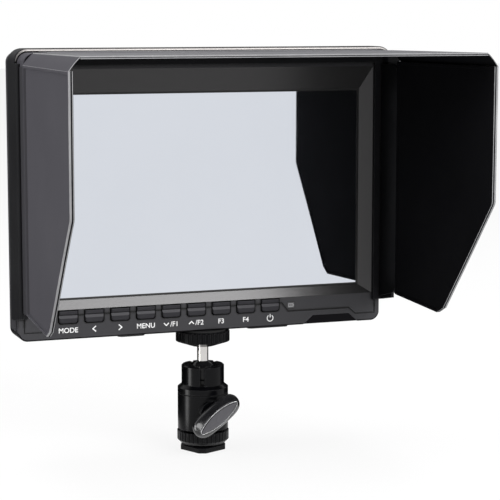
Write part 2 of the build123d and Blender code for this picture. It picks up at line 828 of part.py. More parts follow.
with BuildPart() as case_screws:
    with BuildSketch(body_plane(body_depth - wall)):
        with Locations((0, body_height / 2)):
            with GridLocations(2 * screw_x, 2 * screw_z, 2, 2):
                Circle(case_screw_head_radius)
    extrude(amount=case_screw_head)
    with BuildSketch(body_plane(body_depth - wall - case_screw_head)):
        with Locations((0, body_height / 2)):
            with GridLocations(2 * screw_x, 2 * screw_z, 2, 2):
                Circle(case_screw_radius)
    extrude(amount=body_depth - bezel_depth - wall - case_screw_head + case_screw_grip)
save(case_screws.part, "case_screws")

with BuildPart() as tripod_insert:
    with BuildSketch(Plane.XY.offset(body_bottom)):
        Circle(insert_radius)
        Circle(insert_bore, mode=Mode.SUBTRACT)
    extrude(amount=insert_length)
save(tripod_insert.part, "tripod_insert")

with BuildPart() as foot_pads:
    with BuildSketch(Plane.XY.offset(body_bottom)):
        with Locations((body_x + pad_left_middle, front_y + pad_front + pad_run / 2)):
            RectangleRounded(pad_left_width, pad_run, pad_corner)
        with Locations((body_x + pad_right_middle, front_y + pad_front + pad_run / 2)):
            RectangleRounded(pad_right_width, pad_run, pad_corner)
    extrude(amount=-pad_drop)
save(foot_pads.part, "foot_pads")


# A video socket: a sheet-metal shell open to the right, with a contact tongue inside.
def video_socket(place):
    with BuildPart() as socket:
        with BuildSketch(side_plane(socket_face)):
            with Locations((socket_depth, place)):
                Rectangle(hdmi_height, hdmi_length)
        extrude(amount=-hdmi_depth)
        with BuildSketch(side_plane(socket_face)):
            with Locations((socket_depth, place)):
                Rectangle(hdmi_height - 2 * hdmi_wall, hdmi_length - 2 * hdmi_wall)
                Rectangle(hdmi_tongue, hdmi_length - 2 * hdmi_tongue_inset, mode=Mode.SUBTRACT)
        extrude(amount=-(hdmi_depth - hdmi_wall), mode=Mode.SUBTRACT)
    return socket.part


save(video_socket(hdmi_places[0]), "hdmi_in_socket")
save(video_socket(hdmi_places[1]), "hdmi_out_socket")

with BuildPart() as power_jack:
    with BuildSketch(side_plane(socket_face)):
        with Locations((board_rear + jack_height / 2, jack_middle)):
            Rectangle(jack_height, jack_width)
    extrude(amount=-jack_length)
    with BuildSketch(side_plane(socket_face)):
        with Locations((board_rear + jack_height / 2, jack_middle)):
            Circle(jack_bore)
            Circle(jack_pin, mode=Mode.SUBTRACT)
    extrude(amount=-(jack_length - wall), mode=Mode.SUBTRACT)
save(power_jack.part, "power_jack")

with BuildPart() as headphone_jack:
    with BuildSketch(side_plane(socket_face)):
        with Locations((board_rear + phone_height / 2, phone_middle)):
            Rectangle(phone_height, phone_width)
    extrude(amount=-jack_length)
    with BuildSketch(side_plane(socket_face)):
        with Locations((board_rear + phone_height / 2, phone_middle)):
            Circle(phone_bore)
    extrude(amount=-(jack_length - wall), mode=Mode.SUBTRACT)
save(headphone_jack.part, "headphone_jack")

# The battery plate: a base with hooked rails at both sides, a stop and a pocket for the latch.
plate_front = block_rear
plate_rear = plate_front + plate_base
latch_middle = plate_middle - plate_length / 2 + plate_stop + latch_length
plate_screw_x = plate_width / 2 - plate_screw_inset
plate_screw_z = plate_length / 2 - plate_screw_inset
with BuildPart() as battery_plate:
    with BuildSketch(body_plane(plate_rear)):
        with Locations((0, plate_middle)):
            RectangleRounded(plate_width, plate_length, plate_rail_wall)
    extrude(amount=plate_base)
    with BuildSketch(body_plane(plate_rear + plate_rail)):
        for side in (-1, 1):
            with Locations((side * (plate_width - plate_rail_wall) / 2, plate_middle)):
                Rectangle(plate_rail_wall, plate_length - 2 * plate_rail_wall)
        with Locations((0, plate_middle - plate_length / 2 + plate_stop)):
            Rectangle(plate_width - 2 * plate_rail_wall, plate_rail_wall)
    extrude(amount=plate_rail)
    with BuildSketch(body_plane(plate_rear + plate_rail)):
        for side in (-1, 1):
            with Locations((side * (plate_width / 2 - plate_rail_wall - plate_rail_lip / 2), plate_middle)):
                Rectangle(plate_rail_lip, plate_lip_length)
    extrude(amount=plate_rail_lip)
    with BuildSketch(body_plane(plate_rear)):
        with Locations((0, latch_middle)):
            Rectangle(latch_width + 2 * slide_gap, latch_length + 2 * slide_gap)
    extrude(amount=plate_base - latch_floor, mode=Mode.SUBTRACT)
    with BuildSketch(body_plane(plate_rear)):
        with Locations((0, plate_middle)):
            with GridLocations(2 * plate_screw_x, 2 * plate_screw_z, 2, 2):
                Circle(case_screw_head_radius + press_gap)
    extrude(amount=case_screw_head, mode=Mode.SUBTRACT)
    with BuildSketch(body_plane(plate_rear)):
        with Locations((0, plate_middle)):
            with GridLocations(2 * plate_screw_x, 2 * plate_screw_z, 2, 2):
                Circle(case_screw_radius + press_gap)
    extrude(amount=plate_base, mode=Mode.SUBTRACT)
save(battery_plate.part, "battery_plate")

with BuildPart() as plate_screws:
    with BuildSketch(body_plane(plate_rear)):
        with Locations((0, plate_middle)):
            with GridLocations(2 * plate_screw_x, 2 * plate_screw_z, 2, 2):
                Circle(case_screw_head_radius)
    extrude(amount=case_screw_head)
    with BuildSketch(body_plane(plate_rear - case_screw_head)):
        with Locations((0, plate_middle)):
            with GridLocations(2 * plate_screw_x, 2 * plate_screw_z, 2, 2):
                Circle(case_screw_radius)
    extrude(amount=plate_base - case_screw_head)
save(plate_screws.part, "plate_screws")

with BuildPart() as battery_contacts:
    with BuildSketch(body_plane(plate_rear)):
        with Locations((0, plate_middle + contact_offset)):
            with GridLocations(contact_pitch, 0, contact_count, 1):
                Rectangle(contact_width, contact_length)
    extrude(amount=-contact_rise)
save(battery_contacts.part, "battery_contacts")

# The latch stands a little above the plate and is pressed in against its spring.
latch_base = plate_rear - plate_base + latch_floor + latch_travel + slide_gap
with BuildPart() as battery_latch:
    with BuildSketch(body_plane(plate_rear + latch_rise)):
        with Locations((0, latch_middle)):
            Rectangle(latch_width, latch_length)
    extrude(amount=plate_rear + latch_rise - latch_base)
    chamfer(battery_latch.faces().sort_by(Axis.Y)[-1].edges().filter_by(Axis.X), latch_rise / 2)
save(battery_latch.part, "battery_latch")

spring_free = latch_base - plate_front - latch_floor - spring_wire
spring_plane = body_plane(plate_front + latch_floor + spring_wire / 2)
spring_foot = spring_plane.from_local_coords((0, latch_middle, 0))
with BuildPart() as latch_spring:
    with BuildLine() as coil:
        Helix(pitch=spring_free / spring_turns, height=spring_free, radius=spring_radius,
              center=spring_foot, direction=(0, 1, 0))
    with BuildSketch(Plane(origin=coil.line @ 0, z_dir=coil.line % 0)):
        Circle(spring_wire / 2)
    sweep(path=coil.line, is_frenet=True)
save(latch_spring.part, "latch_spring")

# ---- Sun hood ----

# The frame is a U of thin wall that slides down over the body, with a flange on the bezel.
with BuildPart() as hood_frame:
    with BuildSketch(body_plane(hood_rear)):
        with Locations((0, hood_top / 2)):
            RectangleRounded(hood_outer_width, hood_top, body_corner + slide_gap + hood_wall)
        with Locations((0, (body_height + slide_gap) / 2)):
            RectangleRounded(body_width + 2 * slide_gap, body_height + slide_gap, body_corner + slide_gap,
                             mode=Mode.SUBTRACT)
        with Locations((0, hood_foot / 2)):
            Rectangle(hood_outer_width, hood_foot, mode=Mode.SUBTRACT)
    extrude(amount=hood_rear + hood_reach)
    with BuildSketch(body_plane(-slide_gap)):
        with Locations((0, (hood_foot + body_height + slide_gap) / 2)):
            Rectangle(body_width + 2 * slide_gap, body_height + slide_gap - hood_foot)
        with Locations((0, (hood_foot + flange_top) / 2)):
            Rectangle(2 * flange_side, flange_top - hood_foot, mode=Mode.SUBTRACT)
    extrude(amount=flange_depth)
    # round the flange's outer corners off with the wall
    with BuildSketch(body_plane(hood_rear)):
        with Locations((0, hood_top / 2)):
            Rectangle(hood_outer_width + 2 * wall, hood_top + 2 * wall)
            RectangleRounded(hood_outer_width, hood_top, body_corner + slide_gap + hood_wall,
                             mode=Mode.SUBTRACT)
    extrude(amount=hood_rear + hood_reach, mode=Mode.SUBTRACT)
    # the top wall is shorter than the sides, and the legs' ends rise towards the front
    with BuildSketch(body_plane(-hood_top_reach)):
        with Locations((0, body_height + slide_gap)):
            Rectangle(hood_outer_width, 2 * (body_corner + slide_gap))
    extrude(amount=hood_reach - hood_top_reach, mode=Mode.SUBTRACT)
    with BuildSketch(side_plane(-hood_outer_width / 2)):
        with BuildLine():
            Polyline(
                (-slide_gap, hood_foot),
                (-hood_reach, hood_foot),
                (-hood_reach, hood_foot + hood_foot_rise),
                close=True,
            )
        make_face()
    extrude(amount=hood_outer_width, mode=Mode.SUBTRACT)
    # the front outer edge is rounded along the top, round its corners and down the sides
    top_end = front_y - hood_top_reach
    side_end = front_y - hood_reach
    straight = hood_frame.edges().filter_by(GeomType.LINE)
    crown = straight.filter_by_position(Axis.Y, top_end - slide_gap, top_end + slide_gap)
    uprights = straight.filter_by_position(Axis.Y, side_end - slide_gap, side_end + slide_gap)
    outer = [crown.sort_by(Axis.Z)[-1], uprights.sort_by(Axis.X)[0], uprights.sort_by(Axis.X)[-1]]
    fillet(outer, hood_round)
    # ribs that run in the rear cover's grooves
    with BuildSketch(body_plane(hood_rear)):
        for side in (-1, 1):
            with Locations((side * (body_width / 2 + slide_gap - rail_groove_depth / 2), body_height / 2)):
                Rectangle(rail_groove_depth, body_height - 2 * hood_foot)
    extrude(amount=rail_groove_width - 2 * slide_gap)
save(hood_frame.part, "hood_frame")


# A stiff strip inside a side wall. The side panel's cloth hinge is held along its front edge.
def hinge_strip(side):
    with BuildPart() as strip:
        with BuildSketch(side_plane(side * strip_outer)) as outline:
            with BuildLine():
                Polyline(
                    (strip_rear, strip_low),
                    (-strip_reach, strip_low + strip_rise),
                    (-strip_reach, strip_high),
                    (strip_rear, strip_high),
                    close=True,
                )
            make_face()
            fillet(outline.vertices().group_by(Axis.X)[0], strip_corner)
        extrude(amount=-side * strip_thickness)
    return strip.part


strip_rear = -slide_gap - flange_depth
save(hinge_strip(-1), "left_hinge_strip")
save(hinge_strip(1), "right_hinge_strip")

with BuildPart() as top_hinge_strip:
    with BuildSketch(body_plane(strip_rear)):
        with Locations((0, strip_top - strip_thickness / 2)):
            Rectangle(body_width - 2 * (body_corner + strip_corner), strip_thickness)
    extrude(amount=strip_rear + strip_reach)
save(top_hinge_strip.part, "top_hinge_strip")

# The hinge lines stand a little inside the panels, one layer deeper for each panel, so that
# the left, right and top panels fold flat over each other in that order.
lip_plane = body_plane(-strip_reach)
left_hinge = Axis(lip_plane.from_local_coords((left_layer - panel_inner, 0, 0)), (0, 0, 1))
right_hinge = Axis(lip_plane.from_local_coords((panel_inner - right_layer, 0, 0)), (0, 0, -1))
top_hinge = Axis(lip_plane.from_local_coords((0, top_under - top_layer, 0)), (1, 0, 0))


# A side panel: a laminated cloth board with a cut-away lower corner.
def side_panel(side):
    with BuildPart() as panel:
        with BuildSketch(side_plane(side * panel_inner)) as outline:
            with BuildLine():
                Polyline(
                    (sheet_rear, side_top),
                    (sheet_front, side_top),
                    (sheet_front, side_front_low),
                    (-side_tip_reach, side_tip_height),
                    (-side_heel_reach, side_heel_height),
                    (sheet_rear, side_rear_low),
                    close=True,
                )
            make_face()
            low_front = outline.vertices().group_by(Axis.X)[0].sort_by(Axis.Y)[0]
            fillet(low_front, side_corner)
        extrude(amount=side * sheet_thickness)
    return panel.part


save(side_panel(-1).rotate(left_hinge, -side_splay), "left_side_panel")
save(side_panel(1).rotate(right_hinge, -side_splay), "right_side_panel")


# A narrow flap hinged to the side panel's top edge that leans in to meet the top panel.
def corner_flap(side):
    lean = radians(flap_lean)
    foot = (body_x + side * panel_inner, front_y, body_bottom + flap_foot)
    lying = Plane(origin=foot, x_dir=(0, side, 0), z_dir=(side * cos(lean), 0, sin(lean)))
    run = sheet_rear - flap_inset - sheet_front
    with BuildPart() as flap:
        with BuildSketch(lying.offset(flap_lift)):
            with Locations((side * (sheet_front + run / 2), (flap_lift + flap_length) / 2)):
                Rectangle(run, flap_length - flap_lift)
        extrude(amount=flap_thickness)
    return flap.part


save(corner_flap(-1).rotate(left_hinge, -side_splay), "left_corner_flap")
save(corner_flap(1).rotate(right_hinge, -side_splay), "right_corner_flap")

# The top panel widens towards the front, and still passes between the open side panels.
with BuildPart() as top_panel:
    with BuildSketch(Plane.XY.offset(body_bottom + top_under)):
        with BuildLine():
            Polyline(
                (body_x - top_half_width, front_y + sheet_rear),
                (body_x + top_half_width, front_y + sheet_rear),
                (body_x + top_front_half_width, front_y + sheet_front),
                (body_x - top_front_half_width, front_y + sheet_front),
                close=True,
            )
        make_face()
    extrude(amount=sheet_thickness)
save(top_panel.part.rotate(top_hinge, -top_splay), "top_panel")
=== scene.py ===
import math

import bmesh
import bpy
from mathutils import Matrix, Vector


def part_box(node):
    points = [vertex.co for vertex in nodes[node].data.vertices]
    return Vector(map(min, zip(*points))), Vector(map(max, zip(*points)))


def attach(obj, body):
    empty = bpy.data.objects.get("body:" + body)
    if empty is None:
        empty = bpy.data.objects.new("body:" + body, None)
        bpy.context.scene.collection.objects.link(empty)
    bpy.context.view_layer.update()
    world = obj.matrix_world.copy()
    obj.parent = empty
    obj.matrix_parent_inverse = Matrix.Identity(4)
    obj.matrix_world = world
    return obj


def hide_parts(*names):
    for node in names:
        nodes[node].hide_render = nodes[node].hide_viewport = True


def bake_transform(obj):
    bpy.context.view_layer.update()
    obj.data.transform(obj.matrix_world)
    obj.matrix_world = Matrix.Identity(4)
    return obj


mm = 0.001
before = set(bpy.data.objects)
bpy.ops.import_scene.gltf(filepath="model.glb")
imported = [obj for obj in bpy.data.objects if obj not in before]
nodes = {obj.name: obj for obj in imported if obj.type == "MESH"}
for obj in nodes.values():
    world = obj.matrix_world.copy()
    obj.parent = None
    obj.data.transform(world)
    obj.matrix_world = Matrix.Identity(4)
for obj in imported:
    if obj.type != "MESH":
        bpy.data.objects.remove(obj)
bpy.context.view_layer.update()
scene = bpy.context.scene
print("frame loaded:", len(nodes), "nodes")


# small helpers for node trees
def plug(tree, source, socket):
    if isinstance(source, bpy.types.NodeSocket):
        tree.links.new(source, socket)
    else:
        socket.default_value = source


def fill(tree, node, sockets):
    for label, value in sockets.items():
        plug(tree, value, node.inputs[label])
    return node


def addNode(tree, kind, sockets=None, **settings):
    node = tree.nodes.new(kind)
    for key, value in settings.items():
        setattr(node, key, value)
    return fill(tree, node, sockets or {})


def calc(tree, operation, *values, clamp=False):
    sockets = dict(enumerate(values))
    return addNode(tree, "ShaderNodeMath", sockets, operation=operation, use_clamp=clamp).outputs[0]


def times(tree, a, b, clamp=False):
    return calc(tree, "MULTIPLY", a, b, clamp=clamp)


def vectorMath(tree, operation, *values):
    sockets = dict(enumerate(values))
    return addNode(tree, "ShaderNodeVectorMath", sockets, operation=operation).outputs


def ranged(tree, amount, low, high):
    return calc(tree, "MULTIPLY_ADD", amount, high - low, low)


def dot(tree, a, b):
    return vectorMath(tree, "DOT_PRODUCT", a, b)["Value"]


def apart(tree, vector):
    return addNode(tree, "ShaderNodeSeparateXYZ", {0: vector}).outputs


def between(tree, value, low, high):
    above = calc(tree, "GREATER_THAN", value, low)
    return times(tree, above, calc(tree, "LESS_THAN", value, high))


def noise(tree, vector, scale, **sockets):
    sockets.update({"Vector": vector, "Scale": scale})
    return addNode(tree, "ShaderNodeTexNoise", sockets).outputs


def remap(tree, value, low, high, top=1.0):
    sockets = {"Value": value, "From Min": low, "From Max": high, "To Max": top}
    return addNode(tree, "ShaderNodeMapRange", sockets).outputs[0]


def mixColour(tree, factor, a, b):
    return addNode(tree, "ShaderNodeMix", {0: factor, 6: a, 7: b}, data_type="RGBA").outputs[2]


def spotOn(tree, kind="Object"):
    return addNode(tree, "ShaderNodeTexCoord").outputs[kind]


def newGroup(name, build, floats, vector="Vector"):
    # a shader group: a vector and plain numbers in, and the plain numbers that build returns out
    tree = bpy.data.node_groups.new(name, "ShaderNodeTree")

    def addSocket(label, way, kind="Float"):
        return tree.interface.new_socket(label, in_out=way, socket_type="NodeSocket" + kind)

    if vector:
        addSocket(vector, "INPUT", "Vector")
    for label, value in floats.items():
        addSocket(label, "INPUT").default_value = value
    outputs = build(tree, addNode(tree, "NodeGroupInput").outputs)
    for label in outputs:
        addSocket(label, "OUTPUT")
    fill(tree, addNode(tree, "NodeGroupOutput"), outputs)
    return tree


def place(tree, group, **values):
    return addNode(tree, "ShaderNodeGroup", values, node_tree=group).outputs


# shared effects, with their lengths in millimetres
effectLook = {
    "fineScale": 1.7, "cellShare": 0.7, "patchDetail": 5.0, "patchRough": 0.6, "patchFrom": 0.36,
    "patchTo": 0.66, "rubScale": 420.0, "rubFloor": 0.25, "turnedScale": 2600.0,
    "turnedWave": 0.3, "wanderScale": 0.35, "wander": (0.5, 0.5, 0.0), "fibreScale": 5.0,
    "threadHeight": 0.5, "fibreHeight": 0.6, "threadShade": 0.25,
}


def buildGrain(tree, start):
    # fine spark-eroded grain of a mould wall
    scale = calc(tree, "DIVIDE", 1 / mm, start["Pitch"])
    sockets = {"Vector": start["Vector"], "Scale": scale}
    cells = addNode(tree, "ShaderNodeTexVoronoi", sockets, feature="SMOOTH_F1").outputs["Distance"]
    fine = times(tree, scale, effectLook["fineScale"])
    cloud = noise(tree, start["Vector"], fine, Detail=3.0)["Fac"]
    height = calc(tree, "MULTIPLY_ADD", cells, effectLook["cellShare"], cloud)
    return {"Height": height, "Speck": cloud}


def buildHandled(tree, start):
    # slow patches left by hands and cleaning
    scale = calc(tree, "DIVIDE", 1 / mm, start["Size"])
    detail, rough = effectLook["patchDetail"], effectLook["patchRough"]
    cloud = noise(tree, start["Vector"], scale, Detail=detail, Roughness=rough)["Fac"]
    return {"Amount": remap(tree, cloud, effectLook["patchFrom"], effectLook["patchTo"])}


def buildEdgeRubAndGlint(tree, start):
    # 1 on an outside edge, broken up by a small noise: partly rubbed wear, partly a painted edge
    # highlight
    sockets = {"Radius": times(tree, start["Radius"], mm)}
    rounded = addNode(tree, "ShaderNodeBevel", sockets, samples=4).outputs["Normal"]
    flat = addNode(tree, "ShaderNodeNewGeometry").outputs["Normal"]
    bent = calc(tree, "SUBTRACT", 1.0, dot(tree, rounded, flat))
    cloud = noise(tree, start["Vector"], effectLook["rubScale"])["Fac"]
    broken = times(tree, bent, calc(tree, "ADD", cloud, effectLook["rubFloor"]))
    return {"Mask": times(tree, broken, start["Reach"], clamp=True)}


def buildTurned(tree, start):
    # fine tool marks round a turned part's own axis
    along = apart(tree, start["Vector"])["Z"]
    sockets = {"W": along, "Scale": effectLook["turnedScale"]}
    cloud = addNode(tree, "ShaderNodeTexNoise", sockets, noise_dimensions="1D").outputs["Fac"]
    scale = calc(tree, "DIVIDE", math.tau / mm, start["Pitch"])
    wave = calc(tree, "SINE", times(tree, along, scale))
    return {"Height": calc(tree, "MULTIPLY_ADD", wave, effectLook["turnedWave"], cloud)}


def buildWeave(tree, start):
    # plain weave on a map measured in millimetres, Pitch is one thread
    flat = start["Vector"]
    wander = noise(tree, flat, effectLook["wanderScale"])["Color"]
    moved = vectorMath(tree, "MULTIPLY_ADD", wander, effectLook["wander"], flat)[0]
    shift = apart(tree, moved)
    scale = calc(tree, "DIVIDE", math.pi, start["Pitch"])
    across, along = (calc(tree, "SINE", times(tree, shift[axis], scale)) for axis in "XY")
    over = times(tree, across, along)
    fibre = noise(tree, flat, effectLook["fibreScale"], Detail=4.0)["Fac"]
    fuzz = times(tree, fibre, effectLook["fibreHeight"])
    return {
        "Height": calc(tree, "MULTIPLY_ADD", over, effectLook["threadHeight"], fuzz),
        "Shade": calc(tree, "MULTIPLY_ADD", over, effectLook["threadShade"], fibre),
    }


def buildCavityShade(tree, start):
    # 1 in a narrow gap or groove, Reach is how wide a gap still counts: the mask for painted shade
    # in gaps
    sockets = {"Distance": times(tree, start["Reach"], mm)}
    openness = addNode(tree, "ShaderNodeAmbientOcclusion", sockets, samples=8).outputs["AO"]
    closed = calc(tree, "SUBTRACT", 1.0, openness)
    return {"Amount": times(tree, closed, start["Hardness"], clamp=True)}


def buildSlope(tree, start):
    # 1 where the cosine between the face and Way lies between Low and High
    facing = dot(tree, spotOn(tree, "Normal"), start["Way"])
    return {"Mask": between(tree, facing, start["Low"], start["High"])}


def buildBand(tree, start):
    # 1 between two heights of the part
    height = calc(tree, "DIVIDE", apart(tree, start["Vector"])["Z"], mm)
    return {"Mask": between(tree, height, start["Low"], start["High"])}


cavityShadeGroup = newGroup("cavity", buildCavityShade, {"Reach": 1.2, "Hardness": 1.6}, vector=None)
slopeGroup = newGroup("slope", buildSlope, {"Low": 0.0, "High": 1.01}, vector="Way")
bandGroup = newGroup("heightBand", buildBand, {"Low": 0.0, "High": 1.0})
grainGroup = newGroup("mouldGrain", buildGrain, {"Pitch": 0.5})
handledGroup = newGroup("handled", buildHandled, {"Size": 30.0})
rubAndGlintGroup = newGroup("edgeRubAndGlint", buildEdgeRubAndGlint, {"Radius": 0.4, "Reach": 2.0})
turnedGroup = newGroup("turnedMarks", buildTurned, {"Pitch": 0.2})
weaveGroup = newGroup("plainWeave", buildWeave, {"Pitch": 0.45})


def colour(shade):
    # a plain number is a neutral grey
    return (*shade, 1.0) if isinstance(shade, tuple) else (shade, shade, shade, 1.0)


def newMaterial(name):
    packed = bpy.data.materials.get(name)
    if packed:
        packed.name = name + "_packed"
    material = bpy.data.materials.new(name)
    material.use_nodes = True
    return material, material.node_tree, material.node_tree.nodes["Principled BSDF"]


def bumped(tree, height, strength, depth, normal=None):
    sockets = {"Height": height, "Strength": strength, "Distance": depth * mm}
    if normal is not None:
        sockets["Normal"] = normal
    return addNode(tree, "ShaderNodeBump", sockets).outputs["Normal"]


# a hard finish: moulded plastic, anodised, plated or painted metal, rubber. Sizes are millimetres
hardRules = {
    "patch": 28.0, "variation": 0.5, "speck": 0.25, "rubRadius": 0.35, "rubRough": -0.1,
    "faceLimit": 0.985, "seamColour": 0.0005, "hollowColour": 0.001, "hollowRough": 0.4,
}


def hardFinish(name, look):
    look = {**hardRules, **look}
    material, tree, shader = newMaterial(name)
    spot = spotOn(tree)
    handled = place(tree, handledGroup, Vector=spot, Size=look["patch"])["Amount"]
    grain = place(tree, grainGroup, Vector=spot, Pitch=look["grain"])
    base = mixColour(
        tree, times(tree, handled, look["variation"]),
        colour(look["colour"]), colour(look["second"]),
    )

    def over(mask, shade):
        return mixColour(tree, mask, base, colour(shade))

    def rubAndGlintMask(radius, reach):
        return place(tree, rubAndGlintGroup, Vector=spot, Radius=radius, Reach=reach)["Mask"]

    def sloped(way, low, high):
        return place(tree, slopeGroup, Way=way, Low=low, High=high)["Mask"]

    def level(low, high):
        return place(tree, bandGroup, Vector=spot, Low=low, High=high)["Mask"]

    base = over(times(tree, grain["Speck"], look["speck"]), look["second"])
    rub = metal = None
    # edges coloured lighter: partly rubbed wear, partly a painted highlight
    if "rub" in look:
        rub = rubAndGlintMask(look["rubRadius"], look["rub"])
        base = over(rub, look["rubColour"])
    if "seam" in look:  # painted shade: a dark line along the edges between two heights
        seam = look["seam"]
        line = rubAndGlintMask(seam["radius"], seam["reach"])
        base = over(times(tree, line, level(seam["low"], seam["high"])), look["seamColour"])
    if "face" in look:  # a softer finish on the faces that look along one way of the piece
        facing = dot(tree, spotOn(tree, "Normal"), look["face"]["way"])
        flat = calc(tree, "GREATER_THAN", facing, look["faceLimit"])
        dots = calc(tree, "MULTIPLY_ADD", grain["Speck"], 0.5, 0.55)
        base = over(times(tree, flat, dots), look["face"]["colour"])
    rough = ranged(tree, handled, *look["rough"])
    # painted shade: gaps and grooves coloured near black
    if "cavity" in look:
        cavityShadeMask = place(tree, cavityShadeGroup, Reach=look["cavity"])["Amount"]
        base = over(cavityShadeMask, look["hollowColour"])
        rough = calc(tree, "MULTIPLY_ADD", cavityShadeMask, look["hollowRough"], rough)
    if "polish" in look:  # the faces that look one way: smoother, and coloured lighter as a painted highlight
        polish = look["polish"]
        polishHighlightMask = sloped(polish["way"], polish["low"], polish["high"])
        if "worn" in polish:  # only along the edges that the rub and glint mask finds
            edge = times(tree, rub, polish["worn"])
            polishHighlightMask = calc(tree, "MINIMUM", times(tree, polishHighlightMask, edge), 1.0)
        base = over(polishHighlightMask, polish["colour"])
        rough = times(tree, rough, calc(tree, "SUBTRACT", 1.0, polishHighlightMask))
        rough = calc(tree, "MULTIPLY_ADD", polishHighlightMask, polish["rough"], rough)
        if "metal" in polish:
            metal = times(tree, polishHighlightMask, polish["metal"])
    if "under" in look:  # painted shade: faces that look down, low on a part, are coloured dark
        under = look["under"]
        downFaces = sloped((0.0, 0.0, -1.0), under["slope"], 1.01)
        paintedUnderShade = times(tree, level(under["low"], under["high"]), downFaces)
        base = over(paintedUnderShade, under["colour"])
        metal = paintedUnderShade if metal is None else calc(tree, "MAXIMUM", metal, paintedUnderShade)
    if rub is not None:
        rough = calc(tree, "MULTIPLY_ADD", rub, look["rubRough"], rough)
    height = grain["Height"]
    if "turned" in look:
        height = place(tree, turnedGroup, Vector=spot, Pitch=look["turned"])["Height"]
    normal = None
    if "soft" in look:  # rounds the look of a small sharp edge
        sockets = {"Radius": look["soft"] * mm}
        normal = addNode(tree, "ShaderNodeBevel", sockets, samples=4).outputs["Normal"]
    fill(tree, shader, {
        "Base Color": base, "Roughness": rough,
        "Metallic": look.get("metallic", 0.0) if metal is None else metal,
        "Normal": bumped(tree, height, look["bump"], look["depth"], normal),
        "Specular IOR Level": look.get("specular", 0.5),
        "Coat Weight": look.get("coat", 0.0), "Coat Roughness": look.get("coatRough", 0.1),
    })
    return material


